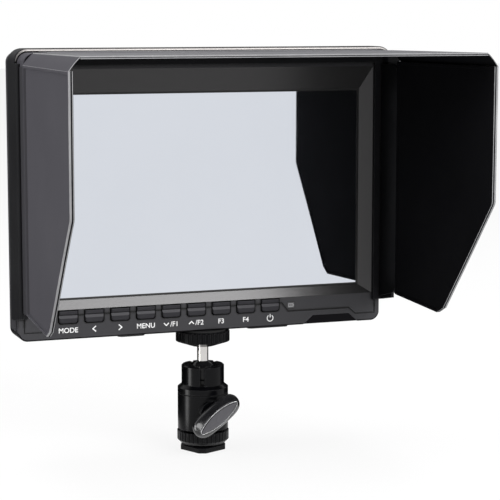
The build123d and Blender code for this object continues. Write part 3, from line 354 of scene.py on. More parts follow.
hardLooks = {
    "case_plastic": {
        "colour": (0.021, 0.0205, 0.024), "second": (0.03, 0.0295, 0.034), "rough": (0.42, 0.52),
        "grain": 0.35, "depth": 0.02, "bump": 0.55, "rub": 1.6, "rubColour": (0.085, 0.085, 0.09),
        "rubRadius": 0.45, "soft": 0.2, "specular": 0.42, "cavity": 1.3,
        # painted shade: dark lines round the key openings
        "seam": {"low": 65.7, "high": 73.1, "radius": 1.2, "reach": 24.0},
        # painted shade on the downward faces of the notch
        "under": {"low": 50.0, "high": 65.0, "slope": 0.1, "colour": (0.01, 0.0095, 0.011)},
        # the window bevels: smoother, with a lighter painted highlight
        "polish": {
            "way": (0.0, -1.0, 0.0), "low": 0.9, "high": 0.9935,
            "colour": (0.056, 0.055, 0.056), "rough": 0.25, "metal": 0.6,
        },
    },
    "hood_plastic": {
        "colour": (0.0065, 0.0065, 0.0075), "second": (0.011, 0.011, 0.0125), "rough": (0.42, 0.52),
        "grain": 0.3, "depth": 0.01, "bump": 0.35, "rub": 1.0, "rubColour": (0.12, 0.12, 0.124),
        "rubRadius": 0.4, "soft": 0.3, "specular": 0.08, "cavity": 1.0,
        # the hood's rounded front rim: a painted highlight
        "polish": {
            "way": (0.0, -0.9205, 0.3907), "low": 0.9212, "high": 1.01,
            "colour": (0.19, 0.181, 0.176), "rough": 0.34, "metal": 0.9,
        },
    },
    "strip_board": {
        "colour": (0.003, 0.003, 0.0035), "second": (0.006, 0.006, 0.007), "rough": (0.45, 0.6),
        "grain": 0.4, "depth": 0.02, "bump": 0.5, "rub": 1.5, "rubColour": (0.1, 0.1, 0.11),
        "soft": 0.25, "specular": 0.08,
    },
    "head_black": {
        "colour": (0.0018, 0.0018, 0.0024), "second": (0.0035, 0.0035, 0.0042),
        "rough": (0.2, 0.28), "grain": 0.12, "turned": 0.16, "depth": 0.004, "bump": 0.35,
        "rub": 3.0, "rubColour": (0.06, 0.06, 0.065), "rubRadius": 0.25, "soft": 0.08,
        "specular": 0.16, "cavity": 1.2,
    },
    "knob_black": {
        "colour": (0.0055, 0.0055, 0.0065), "second": (0.01, 0.01, 0.0115), "rough": (0.22, 0.32),
        "grain": 0.3, "depth": 0.012, "bump": 0.45, "rub": 5.0, "rubColour": (0.3, 0.3, 0.31),
        "rubRadius": 0.42, "soft": 0.2, "specular": 0.35, "coat": 0.4, "coatRough": 0.06,
        "face": {"way": (0.0, -1.0, 0.0), "colour": (0.082, 0.08, 0.089)},
        # a near-white painted highlight along the knob's upper-left rim
        "polish": {
            "way": (-0.435, -0.707, 0.557), "low": 0.76, "high": 1.01,
            "colour": (0.9, 0.9, 0.92), "rough": 0.25, "worn": 14.0,
        },
    },
    "ball_black": {
        "colour": (0.008, 0.008, 0.009), "second": (0.014, 0.014, 0.015), "rough": (0.14, 0.24),
        "grain": 0.2, "turned": 0.12, "depth": 0.002, "bump": 0.3, "specular": 0.3,
    },
    "inner_plastic": {
        "colour": (0.014, 0.014, 0.015), "second": (0.022, 0.022, 0.023), "rough": (0.35, 0.5),
        "grain": 0.3, "depth": 0.01, "bump": 0.4, "soft": 0.2,
    },
    "bright_steel": {
        "colour": (0.6, 0.6, 0.61), "second": (0.5, 0.5, 0.51), "rough": (0.22, 0.38),
        "grain": 0.15, "turned": 0.18, "depth": 0.006, "bump": 0.5, "metallic": 1.0, "soft": 0.15,
    },
    "black_steel": {
        "colour": (0.03, 0.03, 0.031), "second": 0.05, "rough": (0.3, 0.45), "grain": 0.12,
        "depth": 0.006, "bump": 0.5, "metallic": 0.9, "rub": 1.8, "rubColour": 0.3,
        "rubRadius": 0.2, "soft": 0.15,
    },
    "chrome_stud": {
        "colour": (0.86, 0.84, 0.82), "second": (0.72, 0.69, 0.66), "rough": (0.15, 0.21),
        "grain": 0.12, "turned": 0.3, "depth": 0.002, "bump": 0.15, "metallic": 1.0, "soft": 0.15,
    },
    "black_rubber": {
        "colour": 0.012, "second": 0.022, "rough": (0.65, 0.85), "grain": 0.25, "depth": 0.03,
        "bump": 0.6, "specular": 0.3, "soft": 0.25,
    },
    "circuit_board": {
        "colour": (0.012, 0.06, 0.03), "second": (0.02, 0.09, 0.045), "rough": (0.3, 0.45),
        "grain": 1.6, "depth": 0.02, "bump": 0.6, "speck": 0.6, "coat": 0.3,
    },
    "switch_black": {
        "colour": 0.02, "second": 0.03, "rough": (0.4, 0.5), "grain": 0.3, "depth": 0.01,
        "bump": 0.4,
    },
    "key_plastic": {
        "colour": (0.022, 0.0215, 0.025), "second": (0.034, 0.0335, 0.038), "rough": (0.4, 0.5),
        "grain": 0.3, "depth": 0.006, "bump": 0.3, "rub": 4.0, "rubColour": (0.14, 0.14, 0.15),
        "soft": 0.12, "specular": 0.12, "cavity": 0.9,
        # painted shade: dark lines round the keys' edges
        "seam": {"low": 60.0, "high": 80.0, "radius": 0.5, "reach": 14.0},
        # the keys' upward slopes coloured lighter: painted highlight
        "polish": {
            "way": (0.0, 0.0, 1.0), "low": 0.12, "high": 0.95,
            "colour": (0.055, 0.054, 0.06), "rough": 0.4,
        },
    },
    "socket_black": {
        "colour": 0.01, "second": 0.018, "rough": (0.35, 0.5), "grain": 0.25, "depth": 0.01,
        "bump": 0.4, "soft": 0.15,
    },
    "light_lens": {
        "colour": (0.07, 0.07, 0.075), "second": (0.1, 0.1, 0.105), "rough": (0.25, 0.35),
        "grain": 0.2, "depth": 0.006, "bump": 0.3, "coat": 0.5,
    },
    "brass_insert": {
        "colour": (0.62, 0.42, 0.17), "second": (0.5, 0.33, 0.13), "rough": (0.25, 0.42),
        "grain": 0.2, "turned": 0.25, "depth": 0.008, "bump": 0.5, "metallic": 1.0, "soft": 0.15,
    },
    "brass_contact": {
        "colour": (0.75, 0.55, 0.25), "second": (0.62, 0.44, 0.18), "rough": (0.16, 0.3),
        "grain": 0.15, "depth": 0.004, "bump": 0.4, "metallic": 1.0, "soft": 0.15,
    },
    "screen_panel": {
        "colour": (0.01, 0.01, 0.012), "second": (0.016, 0.016, 0.018), "rough": (0.15, 0.25),
        "grain": 0.3, "depth": 0.004, "bump": 0.3,
    },
}

# the screen's front glass: a bright mirror coat, as it looks with the screen off
glassLook = {
    "colour": (0.86, 0.895, 0.965), "smear": (0.8, 0.84, 0.91), "smearShare": 0.3, "patch": 60.0,
    "rough": (0.012, 0.03),
}


def screenFinish(name, look):
    material, tree, shader = newMaterial(name)
    handled = place(tree, handledGroup, Vector=spotOn(tree), Size=look["patch"])["Amount"]
    faint = times(tree, handled, look["smearShare"])
    fill(tree, shader, {
        "Base Color": mixColour(tree, faint, colour(look["colour"]), colour(look["smear"])),
        "Roughness": ranged(tree, handled, *look["rough"]), "Metallic": 1.0,
    })
    return material


# cloth: a woven face with thread shade, lint and a little sheen
clothRules = {
    "patch": 35.0, "variation": 0.35, "lintScale": 1500.0, "lintFrom": 0.68, "lintTo": 0.78,
    "sheenRough": 0.5,
}
mapUnit = 10.0  # units of a cloth map in one metre


def clothFinish(name, look):
    look = {**clothRules, **look}
    material, tree, shader = newMaterial(name)
    flat = addNode(tree, "ShaderNodeUVMap", uv_map="clothMap").outputs["UV"]
    scale = 1 / (mapUnit * mm)
    inMm = vectorMath(tree, "MULTIPLY", flat, (scale,) * 3)[0]
    weave = place(tree, weaveGroup, Vector=inMm, Pitch=look["thread"])
    spot = spotOn(tree)
    handled = place(tree, handledGroup, Vector=spot, Size=look["patch"])["Amount"]
    worn = times(tree, handled, look["variation"])
    lint = noise(tree, spot, look["lintScale"], Detail=2.0)["Fac"]
    spots = remap(tree, lint, look["lintFrom"], look["lintTo"], look["lint"])
    base = mixColour(tree, weave["Shade"], colour(look["colour"]), colour(look["second"]))
    base = mixColour(tree, worn, base, colour(look["worn"]))
    base = mixColour(tree, spots, base, colour(look.get("lintColour", look["worn"])))
    fill(tree, shader, {
        "Base Color": base, "Roughness": ranged(tree, weave["Shade"], *look["rough"]),
        "Normal": bumped(tree, weave["Height"], look["bump"], look["depth"]),
        "Specular IOR Level": look["specular"], "Sheen Weight": look["sheen"],
        "Sheen Roughness": look["sheenRough"],
    })
    return material


outerClothLook = {
    "thread": 0.42, "colour": (0.032, 0.0305, 0.038), "second": (0.045, 0.043, 0.052),
    "worn": (0.051, 0.049, 0.058), "rough": (0.58, 0.7), "depth": 0.02, "bump": 0.45,
    "specular": 0.12, "sheen": 0.03, "sheenRough": 0.4, "lint": 0.2,
}
# a lighter copy of the same cloth for the top faces: painted light
paintedLitClothLook = dict(
    outerClothLook, colour=(0.06, 0.059, 0.066), second=(0.08, 0.079, 0.087),
    worn=(0.088, 0.087, 0.095), rough=(0.52, 0.62), specular=0.24,
)
# and a darker copy for the side folds: painted shade
paintedShadeClothLook = dict(
    outerClothLook, colour=(0.014, 0.0134, 0.0165), second=(0.021, 0.02, 0.0245),
    worn=(0.025, 0.024, 0.0285),
)
innerClothLook = {
    "thread": 0.5, "colour": (0.0022, 0.0022, 0.0027), "second": (0.0045, 0.0045, 0.0054),
    "worn": (0.006, 0.006, 0.007), "rough": (0.9, 1.0), "depth": 0.06, "bump": 0.6,
    "specular": 0.03, "sheen": 0.0, "lint": 0.2, "lintColour": (0.012, 0.012, 0.013),
}
cutEdgeLook = {
    "thread": 0.3, "colour": (0.13, 0.13, 0.136), "second": (0.2, 0.2, 0.207),
    "worn": (0.26, 0.26, 0.267), "rough": (0.5, 0.7), "depth": 0.05, "bump": 0.6,
    "specular": 0.35, "sheen": 0.2, "lint": 0.6, "lintColour": 0.5, "variation": 0.7,
}
tapeLook = {
    "thread": 0.35, "colour": (0.006, 0.006, 0.007), "second": (0.012, 0.012, 0.013),
    "worn": (0.018, 0.018, 0.019), "rough": (0.6, 0.75), "depth": 0.03, "bump": 0.6,
    "specular": 0.3, "sheen": 0.08, "lint": 0.3, "lintColour": (0.04, 0.04, 0.042),
}

finishes = {name: hardFinish(name, look) for name, look in hardLooks.items()}
finishes["screen_glass"] = screenFinish("screen_glass", glassLook)
discBlack = hardFinish("disc_black", dict(hardLooks["head_black"], specular=0.12))
outerCloth = clothFinish("outerCloth", outerClothLook)
paintedShadeCloth = clothFinish("paintedShadeCloth", paintedShadeClothLook)
paintedLitCloth = clothFinish("paintedLitCloth", paintedLitClothLook)
innerCloth = clothFinish("innerCloth", innerClothLook)
cutEdge = clothFinish("cutEdge", cutEdgeLook)
tapeCloth = clothFinish("tapeCloth", tapeLook)
for node in nodes.values():
    for slot in node.material_slots:
        wanted = slot.material.name.replace("_packed", "")
        if wanted in finishes:
            slot.material = finishes[wanted]
for node, finish in (("shoe_washer", finishes["black_steel"]), ("locking_disc", discBlack)):
    for slot in nodes[node].material_slots:
        slot.material = finish
print("finishes placed")


# places on the monitor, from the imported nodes
bezelLow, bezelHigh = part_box("front_bezel")
bezelFront = bezelLow.y
bodyLow = bezelLow.z
bodyMiddle = (bezelLow.x + bezelHigh.x) / 2
right, up = Vector((1, 0, 0)), Vector((0, 0, 1))


def newObject(name, data):
    made = bpy.data.objects.new(name, data)
    scene.collection.objects.link(made)
    return made


def meshObject(name, bm, materials):
    mesh = bpy.data.meshes.new(name)
    bmesh.ops.recalc_face_normals(bm, faces=bm.faces)
    bm.to_mesh(mesh)
    bm.free()
    for material in materials:
        mesh.materials.append(material)
    return newObject(name, mesh)


def evaluatedMesh(holder):
    bpy.context.view_layer.update()
    graph = bpy.context.evaluated_depsgraph_get()
    return bpy.data.meshes.new_from_object(holder.evaluated_get(graph))


def smoothShade(piece, angle):
    for face in piece.data.polygons:
        face.use_smooth = True
    piece.data.set_sharp_from_angle(angle=math.radians(angle))


def joinRows(bm, rows, finish=lambda k, i: 0):
    # faces between closed rows of points, one row after the other
    for k in range(len(rows) - 1):
        for i in range(len(rows[k])):
            face = bm.faces.new((rows[k][i - 1], rows[k][i], rows[k + 1][i], rows[k + 1][i - 1]))
            face.material_index = finish(k, i)


def loft(bm, rows, finish=lambda k, i: 0, firstCap=0, lastCap=0):
    joinRows(bm, rows, finish)
    bm.faces.new(rows[0]).material_index = firstCap
    bm.faces.new(list(reversed(rows[-1]))).material_index = lastCap


def mapCloth(piece, spotOf):
    layer = piece.data.uv_layers.new(name="clothMap")
    for corner in piece.data.loops:
        layer.data[corner.index].uv = spotOf(corner.vertex_index)


# hood boards: cloth laminated on both sides of a stiff sheet, with a cut edge, in millimetres
boardSizes = {
    "gridPitch": 6.0, "ripple": 0.22, "insetCrease": 2.2, "creaseDepth": 0.06, "creaseWidth": 0.4,
    "roundOver": 0.16, "rimWide": 1.2, "rimThick": 0.42, "core": 0.12, "mergeAngle": 1.5,
    # each ripple: waves across, waves along, phase and share
    "ripples": ((5.1, 2.2, 0.6, 0.6), (-7.3, 3.0, 1.9, 0.4)),
}
topBoardSizes = dict(boardSizes, rimThick=0.08)
tiny = 1e-6


def outlineOf(node, outside, mergeAngle):
    # the outline of the board's outer face, its normal and the board's thickness
    bm = bmesh.new()
    bm.from_mesh(nodes[node].data)
    bmesh.ops.remove_doubles(bm, verts=bm.verts, dist=tiny)
    bmesh.ops.dissolve_limit(
        bm, angle_limit=math.radians(mergeAngle), verts=bm.verts, edges=bm.edges, delimit=set()
    )
    big = sorted(bm.faces, key=lambda f: -f.calc_area())[:2]
    outer, inner = sorted(big, key=lambda f: -f.normal.dot(Vector(outside)))
    points = [v.co.copy() for v in outer.verts]
    normal = outer.normal.copy()
    thickness = abs((inner.calc_center_median() - outer.calc_center_median()).dot(normal))
    bm.free()
    return points, normal, thickness


def insetLoop(points, normal, distance):
    # moves each side of the outline inwards by distance
    moved = []
    for i, point in enumerate(points):
        before = (point - points[i - 1]).normalized()
        after = (points[(i + 1) % len(points)] - point).normalized()
        half = normal.cross(before) + normal.cross(after)
        moved.append(point + half * (2.0 * distance / max(half.length_squared, tiny)))
    return moved


def clothBoard(name, node, body, outside, upWay, sizes, outerFace):
    points, normal, thickness = outlineOf(node, outside, sizes["mergeAngle"])
    upWay = Vector(upWay)
    upWay = (upWay - normal * upWay.dot(normal)).normalized()
    sideWay = upWay.cross(normal)
    centre = sum(points, Vector()) / len(points)
    flatArea = sum(
        (points[i - 1] - centre).cross(point - centre).length / 2 for i, point in enumerate(points)
    )
    crease, width = sizes["insetCrease"] * mm, sizes["creaseWidth"] * mm
    over = min(sizes["roundOver"] * mm, thickness * 0.3)
    rim, wide, core = sizes["rimThick"] * mm, sizes["rimWide"] * mm, sizes["core"] * mm
    # each ring: distance in from the edge, depth below the outer face, finish of the band after it
    rings = [
        (crease + 2 * width, 0.0, 0), (crease + width, 0.0, 0),
        (crease, sizes["creaseDepth"] * mm, 0), (crease - width, 0.0, 0), (wide + rim / 2, 0.0, 0),
        (wide, -rim, 0), (over, -rim, 2), (over * 0.25, over * 0.4 - rim, 2), (0.0, over - rim, 2),
        (0.0, thickness / 2 - core, 1), (core, thickness / 2, 1), (0.0, thickness / 2 + core, 1),
        (0.0, thickness + rim - 3 * over, 2), (0.0, thickness + rim - over, 1),
        (over, thickness + rim, 1), (wide, thickness + rim, 1), (wide + rim / 2, thickness, 1),
        (crease + 2 * width, thickness, 1),
    ]
    bm = bmesh.new()
    made = [
        [bm.verts.new(p - normal * depth) for p in insetLoop(points, normal, inset)]
        for inset, depth, _ in rings
    ]
    loft(bm, made, lambda k, i: rings[k][2], lastCap=1)
    pitch = sizes["gridPitch"] * mm
    spans = []
    for way in (upWay, sideWay):
        reach = [(p - centre).dot(way) for p in points]
        spans.append(max(reach) - min(reach))
        at = min(reach) + pitch
        while at < max(reach) - pitch / 2:
            geometry = bm.verts[:] + bm.edges[:] + bm.faces[:]
            bmesh.ops.bisect_plane(
                bm, geom=geometry, plane_co=centre + way * at, plane_no=way, dist=tiny
            )
            at += pitch
    spanUp, spanSide = spans
    # a laminate never lies quite flat: long shallow ripples that die away at its rim
    for vert in bm.verts:
        u = (vert.co - centre).dot(sideWay) / spanSide
        v = (vert.co - centre).dot(upWay) / spanUp
        fade = max(0.0, 1 - (2 * u) ** 2) * max(0.0, 1 - (2 * v) ** 2)
        swell = sum(math.sin(a * u + b * v + c) * share for a, b, c, share in sizes["ripples"])
        vert.co += normal * (swell * fade * sizes["ripple"] * mm)
    piece = meshObject(name, bm, [outerFace, innerCloth, cutEdge])

    def spotOf(index):
        co = piece.data.vertices[index].co - centre
        return co.dot(sideWay) * mapUnit + 1, co.dot(upWay) * mapUnit + 1

    mapCloth(piece, spotOf)
    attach(piece, body)
    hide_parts(node)
    return piece


def clothBand(name, rows, thickness, finishesOfBand):
    # thin cloth on rows of points of its glued face, each point with the way out of that face
    bm = bmesh.new()
    made = []
    for row in rows:
        outside = [bm.verts.new(p + w * thickness) for p, w in row]
        made.append(outside + [bm.verts.new(p) for p, w in reversed(row)])
    size, half = len(made[0]), len(rows[0])
    loft(bm, made, lambda k, i: 0 if 0 < i < half else (1 if i > half else 2), 2, 2)
    piece = meshObject(name, bm, finishesOfBand)
    across, along = [0.0], [0.0]
    for i in range(1, half):
        across.append(across[-1] + (rows[0][i][0] - rows[0][i - 1][0]).length)
    for k in range(1, len(rows)):
        along.append(along[-1] + (rows[k][0][0] - rows[k - 1][0][0]).length)

    def spotOf(index):
        k, i = divmod(index, size)
        return across[i if i < half else size - 1 - i] * mapUnit + 2, along[k] * mapUnit + 2

    mapCloth(piece, spotOf)
    return piece, across[-1], along[-1]


# gussets: the cloth that joins a side board's top edge to the top board's side edge
gussetSizes = {
    "thickness": 0.32, "overlap": 0.8, "thinShare": 0.35, "hem": 0.3, "proud": 0.05,
    "clear": 0.12, "foldUp": 0.2, "foldIn": 0.22, "crown": 0.18, "dropShare": 0.3, "bend": 0.45,
    "rows": 48, "steps": 8,
}


def edgeOf(node, side):
    # the rear and front ends of the node's outermost long edge, at its upper corner
    points = [v.co for v in nodes[node].data.vertices]
    ends = []
    for y in (max(p.y for p in points), min(p.y for p in points)):
        near = [p for p in points if abs(p.y - y) < 0.5 * mm]
        ends.append(max(near, key=lambda p: (round(side * p.x, 5), p.z)).copy())
    return ends


def gusset(side, word, sizes):
    outer, upper = edgeOf(word + "_side_panel", side), edgeOf("top_panel", side)
    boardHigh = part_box("top_panel")[1].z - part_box("top_hinge_strip")[0].z
    drop = boardHigh * sizes["dropShare"]
    out = right * side
    rows = []
    for k in range(sizes["rows"] + 1):
        t = k / sizes["rows"]
        start = outer[0].lerp(outer[1], t) + out * sizes["proud"] * mm
        end = upper[0].lerp(upper[1], t) + out * sizes["clear"] * mm - up * drop
        lean = end - start
        lean.y = 0.0
        away = (out * lean.z - up * side * lean.x).normalized()
        crease = start + up * sizes["foldUp"] * mm - out * sizes["foldIn"] * mm
        row = [
            (start - up * sizes["overlap"] * mm, out * sizes["thinShare"]),
            (start - up * sizes["hem"] * mm, out), (start, out),
            (crease, (out + away).normalized()),
        ]
        for j in range(1, sizes["steps"] + 1):
            f = j / sizes["steps"]
            swell = away * math.sin(math.pi * f) * sizes["crown"] * mm
            row.append((crease.lerp(end, f) + swell, away))
        rows.append(row)
    finishesOfBand = [outerCloth, innerCloth, cutEdge]
    piece, _, _ = clothBand(word + "Gusset", rows, sizes["thickness"] * mm, finishesOfBand)
    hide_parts(word + "_corner_flap")
    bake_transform(piece)
    return piece


leftGusset = gusset(-1, "left", gussetSizes)
rightGusset = gusset(1, "right", gussetSizes)
for side, word, trim in ((-1, "left", leftGusset), (1, "right", rightGusset)):
    clothBoard(
        word + "SideCloth", word + "_side_panel", word + "_panel", (side, 0, 0), (0, 0, 1),
        boardSizes, outerCloth,
    )
# the top board's outer face takes the lighter copy of the cloth, painted light
clothBoard("topCloth", "top_panel", "top", (0, 0, 1), (0, -1, 0), topBoardSizes, paintedLitCloth)
print("hood boards made")

# hinge covers: cloth glued round the hood's strips and over each fold line, thin on the board
coverSizes = {
    "thickness": 0.3, "gap": 0.03, "rows": 40, "clear": 0.1, "thinEnd": 0.2, "middleShare": 0.6,
    # distances forward of the fold line
    "bends": (-2.0, -1.0, -0.4, 0.0, 0.3, 0.6, 1.0, 2.0, 3.1), "onPanel": 5.0, "splayFrom": 0.3,
    "bendRear": 0.3, "bendFront": 0.9, "sideSplay": 1.9, "sideLow": 3.4, "sideHigh": 0.9,
    "topSplay": 0.4, "topEnds": 0.5, "topRear": 7.6,
}
cornerSizes = {
    "radius": 4.8, "tuck": 1.2, "lap": 0.2, "clear": 0.05, "rear": 7.7, "front": 20.2,
    "turns": 12, "rows": 8,
}


def coverRows(foldY, rearY, face, out, splay, first, last, sizes):
    # face: the glued face's place on the axis that out runs along
    rear = (foldY - rearY) / mm
    reaches = [rear, rear * sizes["middleShare"], *sizes["bends"], sizes["onPanel"]]
    rows = []
    for k in range(sizes["rows"] + 1):
        base = Vector(first).lerp(Vector(last), k / sizes["rows"])
        row = []
        for r in reaches:
            spread = math.tan(math.radians(splay)) * max(0.0, r - sizes["splayFrom"]) * mm
            point = base + out * (face + spread)
            point.y = foldY - r * mm
            row.append((point, out * (sizes["thinEnd"] if r == reaches[-1] else 1.0)))
        rows.append(row)
    return rows


def hingeCover(name, rows, sizes, outerFace):
    finishesOfBand = [outerFace, tapeCloth, outerFace]
    piece, wide, long = clothBand(name, rows, sizes["thickness"] * mm, finishesOfBand)
    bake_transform(piece)


def sideCover(side, word, sizes):
    low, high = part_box(word + "_hinge_strip")
    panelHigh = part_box(word + "_side_panel")[1]
    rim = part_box("hood_frame")[0].y
    face = (-low.x if side < 0 else high.x) + sizes["gap"] * mm
    rows = coverRows(
        low.y, rim - sizes["clear"] * mm, face, right * side, sizes["sideSplay"],
        (0, 0, low.z + sizes["sideLow"] * mm), (0, 0, panelHigh.z - sizes["sideHigh"] * mm), sizes,
    )
    # the darker copy of the cloth, painted shade
    hingeCover(word + "HingeCover", rows, sizes, paintedShadeCloth)


def topCover(sizes):
    low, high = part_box("top_hinge_strip")
    ends = sizes["topEnds"] * mm
    rows = coverRows(
        low.y, bezelFront - sizes["topRear"] * mm, high.z + sizes["gap"] * mm, up,
        sizes["topSplay"], (low.x + ends, 0, 0), (high.x - ends, 0, 0), sizes,
    )
    # the lighter copy of the cloth, painted light
    hingeCover("topHingeCover", rows, sizes, paintedLitCloth)


def cornerCover(side, word, thickness, sizes):
    # the hood's own cloth round its corner, between the side strip and the top strip
    sideLow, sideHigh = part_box(word + "_hinge_strip")
    topLow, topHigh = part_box("top_hinge_strip")
    face = sideLow.x if side < 0 else sideHigh.x
    radius = sizes["radius"] * mm
    centre = Vector((face - side * radius, 0, topHigh.z - radius))
    inner = radius - (thickness + sizes["clear"]) * mm
    tuck = sideHigh.z - centre.z - sizes["tuck"] * mm
    section = [(Vector((side * inner, 0, tuck)), right * side)]
    for step in range(sizes["turns"] + 1):
        turn = math.pi / 2 * step / sizes["turns"]
        way = Vector((side * math.cos(turn), 0, math.sin(turn)))
        section.append((way * inner, way))
    edge = (topLow.x if side < 0 else topHigh.x) + side * sizes["lap"] * mm
    section.append((Vector((edge - centre.x, 0, inner)), up))
    rows = []
    for k in range(sizes["rows"] + 1):
        forward = sizes["rear"] + (sizes["front"] - sizes["rear"]) * k / sizes["rows"]
        spot = centre + Vector((0, bezelFront - forward * mm, 0))
        rows.append([(spot + p, w) for p, w in section])
    finishesOfBand = [outerCloth, tapeCloth, outerCloth]
    piece, wide, long = clothBand(word + "CornerCover", rows, thickness * mm, finishesOfBand)
    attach(piece, "hood")


for side, word in ((-1, "left"), (1, "right")):
    sideCover(side, word, coverSizes)
topCover(coverSizes)
for side, word in ((-1, "left"), (1, "right")):
    cornerCover(side, word, coverSizes["thickness"], cornerSizes)
print("hinge covers made")

# the wing knob: a leaf-shaped face with a crisp rim, and wide slopes down to its outline
knobSizes = {
    "length": 26.4, "width": 11.0, "turn": 38.0, "leafLength": 22.6, "leafWidth": 6.3,
    "leafPoint": 1.72, "endShare": 3.2, "points": 96,
    # each ring of the wing: share of the way from leaf to outline, growth, depth behind the front
    "wing": (
        (0, 0.35, 0.3), (0, 0.8, 0.27), (0, 0.955, 0.105), (0, 1, 0), (0.07, 1, 0.06),
        (0.25, 1, 0.55), (0.5, 1, 1.35), (0.74, 1, 2.3), (0.92, 1, 3.4), (1, 1, 4.5),
        (1, 0.99, 5.6), (1, 0.95, 6.4), (1, 0.86, 6.8),
    ),
    # each ring of the neck and its bore: radius, depth, and whether depth counts from the back
    "neck": (
        (4.65, 6.8, False), (4.4, 7.1, False), (4.4, 0, True), (2.7, 0, True), (2.7, -3.0, True),
    ),
}


def buildKnob(sizes):
    low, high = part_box("wing_knob")
    centre = Vector(((low.x + high.x) / 2, 0, (low.z + high.z) / 2))
    turn = math.radians(sizes["turn"])

    def slotPoint(a):
        half, share = (sizes["length"] - sizes["width"]) / 2, sizes["endShare"]
        x, z = math.cos(a) * sizes["width"] / 2, math.sin(a) * sizes["width"] / 2
        # the ends' arcs keep most points, and the straight sides are spread between them
        return Vector((x + half * math.tanh(share * math.cos(a)) / math.tanh(share), z))

    def leafPoint(a):
        power = 2 / sizes["leafPoint"]
        x = math.copysign(abs(math.cos(a)) ** power, math.cos(a)) * sizes["leafLength"] / 2
        z = math.copysign(abs(math.sin(a)) ** power, math.sin(a)) * sizes["leafWidth"] / 2
        return Vector((x, z))

    bm, rows = bmesh.new(), []
    angles = [math.tau * i / sizes["points"] for i in range(sizes["points"])]

    def addRing(points, y):
        made = []
        for at in points:
            x = at.x * math.cos(turn) - at.y * math.sin(turn)
            z = at.x * math.sin(turn) + at.y * math.cos(turn)
            made.append(bm.verts.new(centre + Vector((x * mm, y, z * mm))))
        rows.append(made)

    for f, grow, depth in sizes["wing"]:
        outline = [(leafPoint(a) * (1 - f) + slotPoint(a) * f) * grow for a in angles]
        addRing(outline, low.y + depth * mm)
    for radius, depth, fromBack in sizes["neck"]:
        circle = [Vector((math.cos(a), math.sin(a))) * radius for a in angles]
        addRing(circle, (high.y if fromBack else low.y) + depth * mm)
    loft(bm, rows)
    piece = meshObject("leafKnob", bm, [finishes["knob_black"]])
    smoothShade(piece, 28)
    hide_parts("wing_knob")
    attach(piece, "knob")


buildKnob(knobSizes)
print("knob made")

# cross-head screws at the back, made by one node tree and placed on points, in millimetres
screwSizes = {
    "case": {
        "Head Radius": 2.7, "Head Height": 1.6, "Recess": 2.6, "Shank Radius": 1.5,
        "Shank Length": 14.0,
    },
    "plate": {
        "Head Radius": 2.2, "Head Height": 1.5, "Recess": 2.2, "Shank Radius": 1.25,
        "Shank Length": 2.4,
    },
}
screwShape = {
    "headSides": 40, "shankSides": 24, "wallRings": 3, "topRings": 5, "crownFrom": 0.4,
    "crownFall": -0.4, "crownPower": 1.6, "barWidth": 0.24, "barLift": 0.45, "seed": 7,
}


